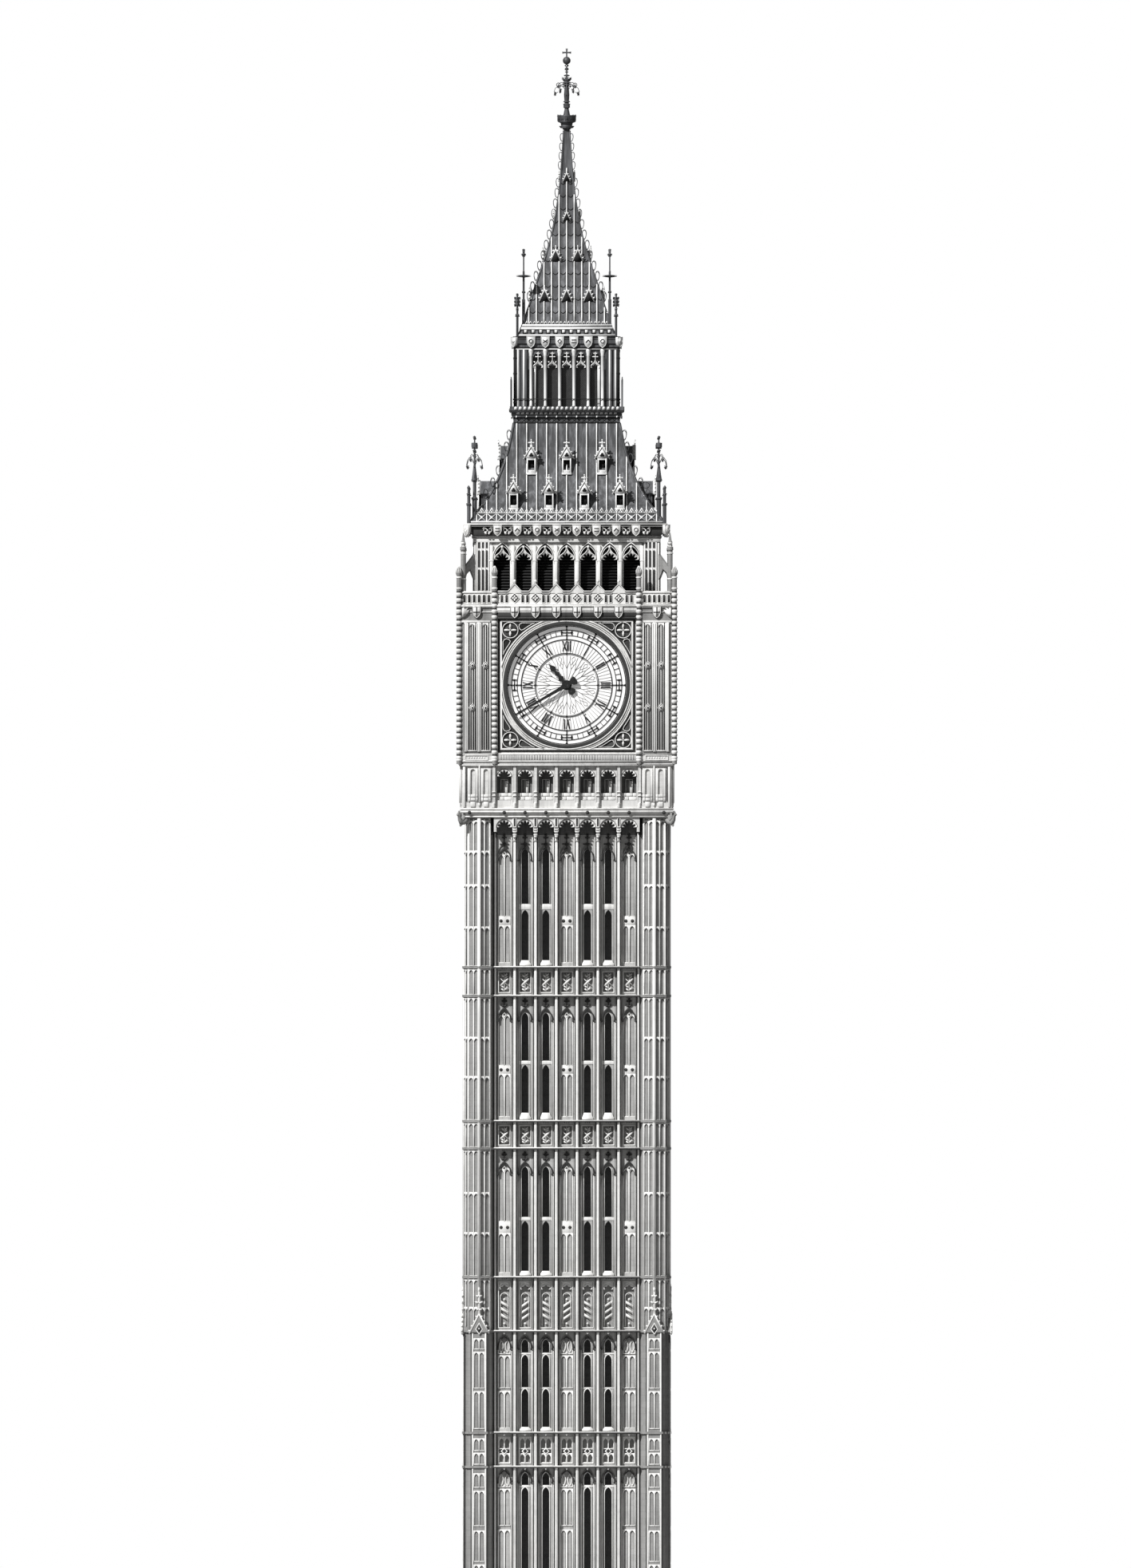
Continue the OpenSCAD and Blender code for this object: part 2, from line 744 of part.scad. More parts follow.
module lantern_posts() {
    color(iron) {
        all_corners() translate([lantern_half - lantern_corner, -lantern_half, lantern_z])
            cube([lantern_corner, lantern_corner, lantern_h]);
        all_sides() for (i = [0:lantern_openings])
            translate([(i - lantern_openings / 2) * lantern_pitch - lantern_post / 2, 2 - lantern_half, lantern_z])
                cube([lantern_post, lantern_post_d, lantern_h - lantern_head]);
    }
}

module lantern_glass() {
    color([0.1, 0.12, 0.14]) all_sides()
        bar(2 * (lantern_half - lantern_corner), lantern_half - 2 - lantern_post_d, pane_t, lantern_z, lantern_h);
}

module lantern_arches() {
    l = 2 * (lantern_half - lantern_corner);
    color(iron) all_sides() plate(lantern_half - 6, 22) difference() {
        translate([-l / 2, lantern_z + lantern_h - lantern_head]) square([l, lantern_head]);
        for (i = [0:lantern_openings - 1])
            translate([(i - (lantern_openings - 1) / 2) * lantern_pitch, lantern_z + lantern_h - lantern_head - 1])
                polygon(pointed(lantern_pitch - lantern_post, lantern_head - 14));
    }
}

module lantern_cornice() {
    z = lantern_cornice_z;
    color(iron) {
        square_slab(lantern_half - 2, z, 30);
        square_slab(lantern_half + 6, z + 30 - eps, 30 + eps);
        square_slab(lantern_half - 4, z + 60 - eps, lantern_cornice_h - 60 + eps);
    }
}

module spire_roof() {
    color(iron) roof_shell(SPIRE, spire_z, spire_h, roof_t);
}

// Small gabled vents: how many in each row, and the row's height as a share of the spire's.
LUCARNES = [[3, 0.172], [2, 0.367], [1, 0.565], [1, 0.755]];
lucarne_w = 54;
lucarne_h = 62;
lucarne_pitch = 130;

module spire_lucarnes() {
    color(stone) all_sides() difference() {
        for (row = LUCARNES) {
            z = spire_z + row[1] * spire_h;
            scale_w = row[0] > 1 ? 1 : 0.7;
            for (i = [0:row[0] - 1])
                translate([(i - (row[0] - 1) / 2) * lucarne_pitch, 0, z]) difference() {
                    plate(spire_half(z) + 8, 46)
                        polygon(scale_w * [[-lucarne_w / 2, 0], [lucarne_w / 2, 0], [0, lucarne_h]]);
                    plate(spire_half(z) + 9, 14)
                        polygon(scale_w * [[-12, 6], [12, 6], [0, 32]]);
                }
        }
        roof_block(SPIRE, spire_z, spire_h);
    }
}

// The crown cup on the spire's neck, the finial that grows out of it, the orb and the cross.
module spire_cross() {
    color(iron) translate([0, 0, spire_top]) rotate_extrude() polygon([
        [0, 0], [spire_neck, 0], [spire_neck, 10], [40, 16], [40, 22], [32, 26], [36, 44], [52, 50], [52, 62],
        [57, 86], [54, crown_h], [44, 64], [20, 60], [20, crown_h + eps], [0, crown_h + eps]
    ]);
    color(iron) translate([0, 0, cross_z]) {
        rotate_extrude() polygon([
            [0, 0], [20, 0], [12, 40], [19, 45], [19, 62], [13, 66], [16, 120], [10, 200], [13, 206], [13, 214],
            [4, 218], [4, 250], [10, 252], [10, 256], [4, 258], [4, 272], [10, 274], [10, 278], [4, 280], [4, 310],
            [0, 310]
        ]);
        translate([0, 0, 321]) sphere(23);
        translate([-4, -4, 340]) cube([8, 8, 52]);
        translate([-26, -4, 364]) cube([52, 8, 9]);
    }
}

shaft_wall();  // front_wall
rotate([0, 0, 90]) shaft_wall();  // right_wall
rotate([0, 0, 180]) shaft_wall();  // back_wall
rotate([0, 0, 270]) shaft_wall();  // left_wall
for (k = [0:3]) {
    rotate([0, 0, 90 * k]) corner_turret();
    rotate([0, 0, 90 * k]) minute_hand();
    rotate([0, 0, 90 * k]) hour_hand();
}
window_glass();
storey_floors();
corbel_arcade();
shaft_cornice();
arcade_storey();
clock_base_course();
clock_piers();
clock_walls();
dial_glass();
dial_frames();
clock_cornice();
clock_parapet();
belfry_piers();
belfry_mullions();
belfry_arches();
belfry_louvres();
belfry_pinnacles();
belfry_cornice();
belfry_roof();
roof_dormers();
roof_finials();
lantern_gallery();
lantern_posts();
lantern_arches();
lantern_glass();
lantern_cornice();
spire_roof();
spire_lucarnes();
spire_cross();
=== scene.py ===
"""Clock tower: mouldings, tracery, dial work, roofs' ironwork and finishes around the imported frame."""
import json
import math

import bmesh
import bpy
import numpy as np
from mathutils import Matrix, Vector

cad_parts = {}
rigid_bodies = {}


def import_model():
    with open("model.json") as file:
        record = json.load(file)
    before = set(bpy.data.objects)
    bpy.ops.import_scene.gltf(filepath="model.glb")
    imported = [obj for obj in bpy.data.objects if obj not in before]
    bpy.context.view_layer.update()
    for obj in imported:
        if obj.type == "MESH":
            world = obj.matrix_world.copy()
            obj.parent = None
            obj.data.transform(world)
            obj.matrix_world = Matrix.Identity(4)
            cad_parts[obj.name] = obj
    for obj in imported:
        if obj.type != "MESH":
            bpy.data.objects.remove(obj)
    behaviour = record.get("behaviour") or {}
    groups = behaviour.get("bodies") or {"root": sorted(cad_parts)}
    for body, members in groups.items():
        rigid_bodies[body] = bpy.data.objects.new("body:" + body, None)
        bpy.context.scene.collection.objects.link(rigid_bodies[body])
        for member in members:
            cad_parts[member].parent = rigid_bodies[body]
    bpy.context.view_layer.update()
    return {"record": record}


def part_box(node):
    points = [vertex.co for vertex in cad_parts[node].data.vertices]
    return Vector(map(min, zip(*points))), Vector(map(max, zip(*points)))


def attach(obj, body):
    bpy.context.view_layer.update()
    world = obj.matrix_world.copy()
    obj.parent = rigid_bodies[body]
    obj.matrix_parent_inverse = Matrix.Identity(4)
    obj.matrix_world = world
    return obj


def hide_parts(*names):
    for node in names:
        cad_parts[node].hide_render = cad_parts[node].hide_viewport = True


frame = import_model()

bl_info = {
    "name": "Gothic Clock Tower",
    "version": (1, 0, 0),
    "blender": (4, 5, 0),
    "location": "View3D > Sidebar > Clock Tower",
    "description": "Dresses a clock tower's frame with carved stone, dial ironwork and cast-iron roofs",
    "category": "Add Mesh",
}

TOWER = "tower"


# ---------------------------------------------------------------- places, in millimetres, from the frame

def span(node, axis):
    """A node's extent along an axis: 0 is x, 1 is y and 2 is z."""
    low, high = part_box(node)
    return low[axis] * 1000, high[axis] * 1000


BAY = (span("front_wall", 0)[1] - span("front_wall", 0)[0]) / 7
WALL_L = 7 * BAY
SHAFT_TOP = span("front_wall", 2)[1]
SHAFT_HALF = span("corbel_arcade", 0)[1]
WALL_OUT = SHAFT_HALF - 80
RIB_OUT = WALL_OUT + 32
TURRET_R = (SHAFT_HALF - WALL_L / 2) / 2
TURRET_C = WALL_L / 2 + TURRET_R
CORNICE_Z = span("shaft_cornice", 2)
CORNICE_OUT = span("shaft_cornice", 0)[1]
ARCADE_Z = span("arcade_storey", 2)
ARCADE_OUT = span("arcade_storey", 0)[1]
BASE_Z = span("clock_base_course", 2)
CLOCK_Z = span("clock_walls", 2)
DIAL_Z = sum(CLOCK_Z) / 2 + 5
DIAL_BAY = 412.0
CLOCK_OUT = 632.0
CLOCK_WALL_OUT = CLOCK_OUT - 20
FRIEZE_Z = span("clock_cornice", 2)
PARAPET_Z = FRIEZE_Z[1]
BELFRY_Z = span("belfry_piers", 2)
BELFRY_OUT = span("belfry_piers", 0)[1]
BELFRY_L = 2 * (BELFRY_OUT - 104)
BELL_BAY = BELFRY_L / 7
BELL_CORNICE_Z = span("belfry_cornice", 2)
ROOF_Z = span("belfry_roof", 2)
GALLERY_Z = (span("lantern_gallery", 2)[0], span("lantern_posts", 2)[0])
GALLERY_OUT = span("lantern_gallery", 0)[1]
LANTERN_Z = span("lantern_posts", 2)
LANTERN_OUT = span("lantern_posts", 0)[1]
TOP_CORNICE_Z = span("lantern_cornice", 2)
SPIRE_Z = span("spire_roof", 2)

# The shaft's string courses: each storey's band starts and ends at one.
BAND_Z = (300, 1272, 2067, 3138, 4032)
STOREY_Z = (480, 1472, 2383, 3298, 4200)
# Each storey's lights: height of the sill above the storey's foot, and height of the light.
LIGHTS = (
    ((40, 630), (685, 73)), ((33, 222), (266, 191), (469, 79)), ((37, 293), (354, 295)),
    ((49, 281), (355, 281)), ((41, 295), (372, 323)),
)
LOWER_FLARE = ((0, 1), (0.10, 0.845), (0.19, 0.67), (0.32, 0.481), (0.44, 0.348), (0.60, 0.205), (0.76, 0.102),
               (1, 0))
SPIRE_FLARE = (
    (0, 1), (0.073, 0.869), (0.19, 0.70), (0.29, 0.55), (0.388, 0.397), (0.487, 0.27),
    (0.585, 0.176), (0.684, 0.109), (0.782, 0.06), (0.95, 0.0075), (1, 0),
)


def lower_half(z):
    """Half width of the lower roof at a height."""
    f = np.array(LOWER_FLARE)
    wide = span("belfry_roof", 0)[1]
    return 311 + (wide - 311) * np.interp((np.asarray(z) - ROOF_Z[0]) / (ROOF_Z[1] - ROOF_Z[0]), f[:, 0], f[:, 1])


def spire_half(z):
    """Half width of the spire at a height."""
    f = np.array(SPIRE_FLARE)
    wide = span("spire_roof", 0)[1]
    return 18 + (wide - 18) * np.interp((np.asarray(z) - SPIRE_Z[0]) / (SPIRE_Z[1] - SPIRE_Z[0]), f[:, 0], f[:, 1])


# ---------------------------------------------------------------- forms

class Form:
    """A mesh in the making: points (n, 3) in millimetres, a row of corner numbers, and each face's corner count."""

    def __init__(self, points, corners, counts):
        self.points = np.asarray(points, float).reshape(-1, 3)
        self.corners = np.asarray(corners, int).ravel()
        self.counts = np.asarray(counts, int).ravel()

    def copies(self, offsets):
        """The form at each offset (k, 3)."""
        offsets = np.asarray(offsets, float).reshape(-1, 3)
        k, n = len(offsets), len(self.points)
        points = (self.points[None] + offsets[:, None]).reshape(-1, 3)
        corners = (self.corners[None] + n * np.arange(k)[:, None]).ravel()
        return Form(points, corners, np.tile(self.counts, k))

    def turned(self, degrees, about=(0, 0, 0)):
        """The form turned about an upright axis through a point."""
        a = math.radians(degrees)
        m = np.array([[math.cos(a), math.sin(a), 0], [-math.sin(a), math.cos(a), 0], [0, 0, 1]])
        about = np.asarray(about, float)
        return Form((self.points - about) @ m + about, self.corners, self.counts)

    def tilted(self, degrees, x=0.0, z=0.0):
        """The form turned in the plane of the front about (x, z), clockwise as seen from outside."""
        a = math.radians(degrees)
        p = self.points.copy()
        dx, dz = p[:, 0] - x, p[:, 2] - z
        p[:, 0] = x + dx * math.cos(a) + dz * math.sin(a)
        p[:, 2] = z - dx * math.sin(a) + dz * math.cos(a)
        return Form(p, self.corners, self.counts)

    def flipped(self):
        """The form mirrored left to right, with its faces still pointing outwards."""
        ends = np.cumsum(self.counts)
        starts = ends - self.counts
        order = np.repeat(ends - 1, self.counts) - (np.arange(len(self.corners)) - np.repeat(starts, self.counts))
        return Form(self.points * (-1, 1, 1), self.corners[order], self.counts)

    def both(self):
        """The form and its mirror image."""
        return joined([self, self.flipped()])

    def all_round(self):
        """The form on all four sides."""
        return joined([self.turned(90 * k) for k in range(4)])


def joined(forms):
    """Several forms as one."""
    forms = [f for f in forms if len(f.points)]
    shifts = np.cumsum([0] + [len(f.points) for f in forms[:-1]])
    return Form(
        np.vstack([f.points for f in forms]),
        np.concatenate([f.corners + s for f, s in zip(forms, shifts)]),
        np.concatenate([f.counts for f in forms]),
    )


def four_sides(*groups):
    """Each group of forms, joined and repeated on all four sides."""
    return tuple(joined(forms).all_round() for forms in groups)


def sheet_of(points, rows_closed=False, columns_closed=False, capped=False):
    """Quads over a grid of points (m, n, 3); capped closes a tube's first and last rows with one face each."""
    m, n = points.shape[:2]
    index = np.arange(m * n).reshape(m, n)
    if rows_closed:
        index = np.vstack([index, index[:1]])
    if columns_closed:
        index = np.hstack([index, index[:, :1]])
    quads = np.stack([index[:-1, :-1], index[:-1, 1:], index[1:, 1:], index[1:, :-1]], -1).reshape(-1, 4)
    corners, counts = [quads.ravel()], [np.full(len(quads), 4)]
    if capped:
        corners += [np.arange(n)[::-1], np.arange(n) + (m - 1) * n]
        counts += [np.array([n, n])]
    return Form(points, np.concatenate(corners), np.concatenate(counts))


def tube(rows):
    """A tube through rows of points, closed by a face at each end."""
    return sheet_of(np.stack(rows), columns_closed=True, capped=True)


def front(u, v, out):
    """Points on the front: u to the right, v up, and out from the tower's axis towards the viewer."""
    u, v, out = np.broadcast_arrays(np.asarray(u, float), v, out)
    return np.stack([u, -out, v], -1)


def carried(profile, path, closed=False):
    """A profile (across, out) carried along a path (u, v) on the front, mitred: point = path + across * normal."""
    profile, path = np.asarray(profile, float), np.asarray(path, float)
    if closed:
        before, after = np.roll(path, 1, 0), np.roll(path, -1, 0)
    else:
        before, after = np.vstack([2 * path[0] - path[1], path[:-1]]), np.vstack([path[1:], 2 * path[-1] - path[-2]])
    into, away = path - before, after - path
    into /= np.maximum(np.linalg.norm(into, axis=1, keepdims=True), 1e-9)
    away /= np.maximum(np.linalg.norm(away, axis=1, keepdims=True), 1e-9)
    along = into + away
    along /= np.maximum(np.linalg.norm(along, axis=1, keepdims=True), 1e-9)
    normal = np.stack([-along[:, 1], along[:, 0]], -1)
    mitre = 1 / np.clip(np.abs((along * into).sum(1)), 0.4, 1)
    spots = path[:, None] + normal[:, None] * (profile[None, :, 0:1] * mitre[:, None, None])
    points = front(spots[..., 0], spots[..., 1], profile[None, :, 1] + np.zeros((len(path), 1)))
    return sheet_of(points, rows_closed=closed, columns_closed=True, capped=not closed)


def moulding(path, width, out, depth, edge=0.25, closed=False):
    """A square bar with bevelled front edges along a path."""
    w, e = width / 2, edge * min(width, depth)
    profile = [(-w, out - depth), (-w, out - e), (e - w, out), (w - e, out), (w, out - e), (w, out - depth)]
    return carried(profile, path, closed)


def rod(path, radius, out, sides=6, closed=False):
    """A round bar along a path."""
    a = np.linspace(0, 2 * math.pi, sides, endpoint=False)
    return carried(np.stack([radius * np.cos(a), out + radius * np.sin(a)], -1), path, closed)


def roll(half, v, radius, out):
    """A level round bar across the middle of the front."""
    return rod([(-half, v), (half, v)], radius, out)


def panel(outline, out, depth):
    """A flat plate of any outline (u, v), its face at out."""
    outline = np.asarray(outline, float)
    n = len(outline)
    points = np.vstack([front(outline[:, 0], outline[:, 1], out), front(outline[:, 0], outline[:, 1], out - depth)])
    k = np.arange(n)
    sides = np.stack([k, (k + 1) % n, (k + 1) % n + n, k + n], -1)
    return Form(points, np.concatenate([k[::-1], k + n, sides.ravel()]), np.concatenate([[n, n], np.full(n, 4)]))


def web(outer, inner, out, depth):
    """A plate between two lines with as many points each, such as an arch and the cusped light inside it."""
    rows = [front(outer[:, 0], outer[:, 1], out), front(inner[:, 0], inner[:, 1], out),
            front(inner[:, 0], inner[:, 1], out - depth), front(outer[:, 0], outer[:, 1], out - depth)]
    return sheet_of(np.stack(rows, 1), columns_closed=True, capped=True)


def block(u0, u1, v0, v1, out, depth, edge=0.2):
    """A stone with bevelled front edges."""
    e = edge * min(u1 - u0, v1 - v0, depth)
    rows = [front([u0, u1, u1, u0], [v0, v0, v1, v1], out - depth),
            front([u0, u1, u1, u0], [v0, v0, v1, v1], out - e),
            front([u0 + e, u1 - e, u1 - e, u0 + e], [v0 + e, v0 + e, v1 - e, v1 - e], out)]
    return tube(rows)


def post(u, half, v0, v1, out, depth):
    """A stone centred on u."""
    return block(u - half, u + half, v0, v1, out, depth)


def posts(u, apart, half, v0, v1, out, depth):
    """Two stones, as far to the left of u as to the right."""
    return [post(u + s * apart, half, v0, v1, out, depth) for s in (-1, 1)]


def turned_form(profile, sides=12, at=(0, 0, 0), squash=1.0):
    """A profile (radius, height) turned about an upright axis at a point."""
    profile = np.asarray(profile, float)
    a = np.linspace(0, 2 * math.pi, sides, endpoint=False)
    r = np.maximum(profile[:, 0:1], 0.05)
    points = np.stack([r * np.cos(a), r * np.sin(a) * squash, profile[:, 1:2] + 0 * a], -1) + np.asarray(at, float)
    return tube(points)


def arc(cx, cz, r, a0, a1, n=8):
    """Points on an arc, in degrees from the right."""
    a = np.radians(np.linspace(a0, a1, n + 1))
    return np.stack([cx + r * np.cos(a), cz + r * np.sin(a)], -1)


def polar(cx, cz, r, a):
    """Points at distances r and angles a in degrees."""
    a = np.radians(a)
    return np.stack([cx + r * np.cos(a), cz + r * np.sin(a)], -1)


def arch_line(x, z, w, rise, n=8):
    """A pointed arch from its right springing to its left one: two arcs whose radius is (w^2/4 + rise^2) / w."""
    r = (w * w / 4 + rise * rise) / w
    top = math.degrees(math.asin(min(1, rise / r)))
    right = arc(x + w / 2 - r, z, r, 0, top, n)
    left = right[::-1] * (-1, 1) + (2 * x, 0)
    return np.vstack([right, left[1:]])


def foil(cx, cz, r, count, depth, n=24, turn=0.0):
    """A closed figure of lobes: radius r * (1 - depth * (1 - |cos(count * (a - turn) / 2)|))."""
    a = np.linspace(0, 360, n, endpoint=False)
    return polar(cx, cz, r * (1 - depth * (1 - np.abs(np.cos(np.radians(a - turn) * count / 2)))), a)


def diamond(u, v, wide, tall):
    """A lozenge of half width wide and half height tall, from its foot."""
    return [(u, v - tall), (u + wide, v), (u, v + tall), (u - wide, v)]


def ring(cx, cz, r, n=24):
    """A closed circle of points."""
    return polar(cx, cz, r, np.linspace(0, 360, n, endpoint=False))


def along(start, step, count, out=0.0):
    """Offsets for a row of copies to the right."""
    return [(start + i * step, -out, 0) for i in range(count)]


# ---------------------------------------------------------------- finishes

class Value:
    """A socket that takes part in arithmetic: each operator adds a Math node."""

    def __init__(self, paint, socket):
        self.paint, self.socket = paint, socket

    def _math(self, operation, *others):
        return self.paint.node("ShaderNodeMath", {"operation": operation}, dict(enumerate((self,) + others)))

    def __add__(self, other):
        return self._math("ADD", other)

    __radd__ = __add__

    def __mul__(self, other):
        return self._math("MULTIPLY", other)

    __rmul__ = __mul__

    def __sub__(self, other):
        return self._math("SUBTRACT", other)

    def __rsub__(self, other):
        return self * -1 + other

    def __truediv__(self, other):
        return self._math("DIVIDE", other)

    def __abs__(self):
        return self._math("ABSOLUTE")

    def max(self, other):
        return self._math("MAXIMUM", other)

    def min(self, other):
        return self._math("MINIMUM", other)

    def fract(self):
        return self._math("FRACT")

    def above(self, low, high):
        """0 below low, 1 above high, smooth between."""
        return self.paint.node(
            "ShaderNodeMapRange", {"interpolation_type": "SMOOTHSTEP", "clamp": True},
            {0: self, 1: low, 2: high, 3: 0.0, 4: 1.0})


class Paint:
    """A material in the making."""

    def __init__(self, name):
        old = bpy.data.materials.get(name)
        self.material = old or bpy.data.materials.new(name)
        self.material.use_nodes = True
        self.tree = self.material.node_tree
        self.tree.nodes.clear()
        self.shader = self.tree.nodes.new("ShaderNodeBsdfPrincipled")
        end = self.tree.nodes.new("ShaderNodeOutputMaterial")
        self.tree.links.new(self.shader.outputs[0], end.inputs[0])

    def node(self, kind, settings, inputs, output=0):
        """Any node: its settings first, then the values or links of its sockets; returns one output."""
        made = self.tree.nodes.new(kind)
        for key, value in settings.items():
            if key == "stops":
                ramp = made.color_ramp
                while len(ramp.elements) < len(value):
                    ramp.elements.new(0.5)
                for element, (place, colour) in zip(ramp.elements, value):
                    element.position, element.color = place, tuple(colour) + (1,)
            else:
                setattr(made, key, value)
        for key, value in inputs.items():
            socket = made.inputs[key]
            if isinstance(value, Value):
                self.tree.links.new(value.socket, socket)
            else:
                socket.default_value = value
        return Value(self, made.outputs[output])

    def place(self):
        """Object coordinates."""
        return self.node("ShaderNodeTexCoord", {}, {}, "Object")

    def parts(self, vector):
        """The three parts of a vector."""
        return tuple(self.node("ShaderNodeSeparateXYZ", {}, {0: vector}, k) for k in range(3))

    def vector(self, x, y, z):
        return self.node("ShaderNodeCombineXYZ", {}, {0: x, 1: y, 2: z})

    def noise(self, vector, scale, detail=4.0, rough=0.55):
        return self.node("ShaderNodeTexNoise", {}, {"Vector": vector, "Scale": scale, "Detail": detail,
                                                    "Roughness": rough})

    def mix(self, factor, a, b, blend="MIX"):
        """Two colours mixed."""
        colour = lambda c: c if isinstance(c, Value) else tuple(c) + (1,)
        return self.node("ShaderNodeMix", {"data_type": "RGBA", "blend_type": blend},
                         {0: factor, 6: colour(a), 7: colour(b)}, 2)

    def set(self, **sockets):
        """Sets the shader's sockets by name, with _ for a space."""
        for key, value in sockets.items():
            socket = self.shader.inputs[key.replace("_", " ")]
            if isinstance(value, Value):
                self.tree.links.new(value.socket, socket)
            else:
                socket.default_value = value
        return self.material

    def bump(self, height, strength, distance):
        return self.node("ShaderNodeBump", {}, {"Strength": strength, "Distance": distance, "Height": height},
                         "Normal")


def grey(value, warm=0.0):
    """A grey, a touch warmer where warm is above 0."""
    return (value * (1 + warm), value, value * (1 - warm))


# Zones of the tower whose recesses get painted shade: from, to, the face that lies in front of the recess, and how
# dark the painted shade is; the zone under the corbel table paints the shadow of its arches.
RECESSES = ((0, 4975, 512, 0.35), (4975, 5077, 575, 0.8), (5133, 5382, 600, 0.85), (5454, 6244, 606, 0.5))


def limestone(name, tone, sooty=True, joints=True):
    """Weathered stone: courses of blocks, upright rain streaks, mottling, and painted shade in the recesses, on the
    shaft's wall fields and beside its ribs.
    """
    p = Paint(name)
    place = p.place()
    x, y, z = p.parts(place)
    across = x + y
    blocks = p.node("ShaderNodeTexBrick", {"offset": 0.5}, {
        "Vector": p.vector(across, z, 0.0), "Color1": (1, 1, 1, 1), "Color2": (0.86, 0.86, 0.86, 1),
        "Mortar": (0.62, 0.62, 0.62, 1), "Scale": 1.0, "Mortar Size": 0.0011, "Mortar Smooth": 0.4,
        "Brick Width": 0.078, "Row Height": 0.036})
    joint = p.node("ShaderNodeSeparateXYZ", {}, {0: blocks}, 0)
    mottle = p.noise(place, 26.0, 6.0, 0.6)
    grain = p.noise(place, 240.0, 3.0, 0.6)
    streaks = p.noise(p.vector(x * 34.0, y * 34.0, z * 2.2), 1.0, 4.0, 0.55)
    dark = tuple(0.46 * c for c in tone)
    stone = p.mix(streaks.above(0.45, 0.78) * 0.55, tone, dark)
    stone = p.mix(mottle.above(0.42, 0.75) * 0.45, stone, tuple(0.70 * c for c in tone))
    if joints:
        stone = p.mix(0.55, stone, blocks, "MULTIPLY")
    if sooty:
        # Painted shade: the stone darkens behind each zone's front face, where the recesses lie in shade.
        out = abs(x).max(abs(y)) * 1000.0
        soot = None
        for low, high, face, strength in RECESSES:
            zone = z.above(low / 1000 - 0.001, low / 1000) * (1 - z.above(high / 1000, high / 1000 + 0.001))
            deep = zone * strength * (1 - out.above(face - 6.0, face + 4.0))
            soot = deep if soot is None else soot.max(deep)
        # Painted shade on the shaft's wall fields behind the rib fronts, darker still close beside each rib, standing
        # for the ribs' shadows.
        field_shade_mask = (1 - out.above(516.0, 545.0)) * (1 - z.above(5.07, 5.08))
        beside = abs((abs(x).min(abs(y)) / (BAY / 1000)).fract() - 0.5) * BAY
        corner = field_shade_mask * (1 - beside.above(10.0, 30.0))
        stone = p.mix(field_shade_mask * 0.34 + corner * 0.34, stone, grey(0.02))
        stone = p.mix(soot * (0.75 + 0.35 * streaks), stone, grey(0.045))
    height = grain * 0.4 + mottle * 0.6 + (joint * 1.2 if joints else 0.0)
    return p.set(Base_Color=stone, Roughness=0.70 + 0.22 * grain, Normal=p.bump(height, 0.35, 0.0022),
                 Specular_IOR_Level=0.25)


def cast_iron(name, tone, stripe=0.35):
    """Painted cast iron: upright runs of weathering, a soft sheen, fine casting grain."""
    p = Paint(name)
    place = p.place()
    x, y, z = p.parts(place)
    runs = p.noise(p.vector(x * 46.0, y * 46.0, z * 3.0), 1.0, 5.0, 0.6)
    patch = p.noise(place, 7.0, 3.0)
    grain = p.noise(place, 320.0, 2.0)
    light = tuple(min(1.0, 3.4 * c) for c in tone)
    iron = p.mix(runs.above(0.40, 0.72) * (0.45 + stripe), tone, light)
    iron = p.mix(patch.above(0.45, 0.70) * 0.5, iron, tuple(0.55 * c for c in tone))
    return p.set(Base_Color=iron, Roughness=0.42 + 0.25 * runs, Metallic=0.15,
                 Normal=p.bump(grain * 0.5 + runs * 0.5, 0.25, 0.0012), Coat_Weight=0.12)


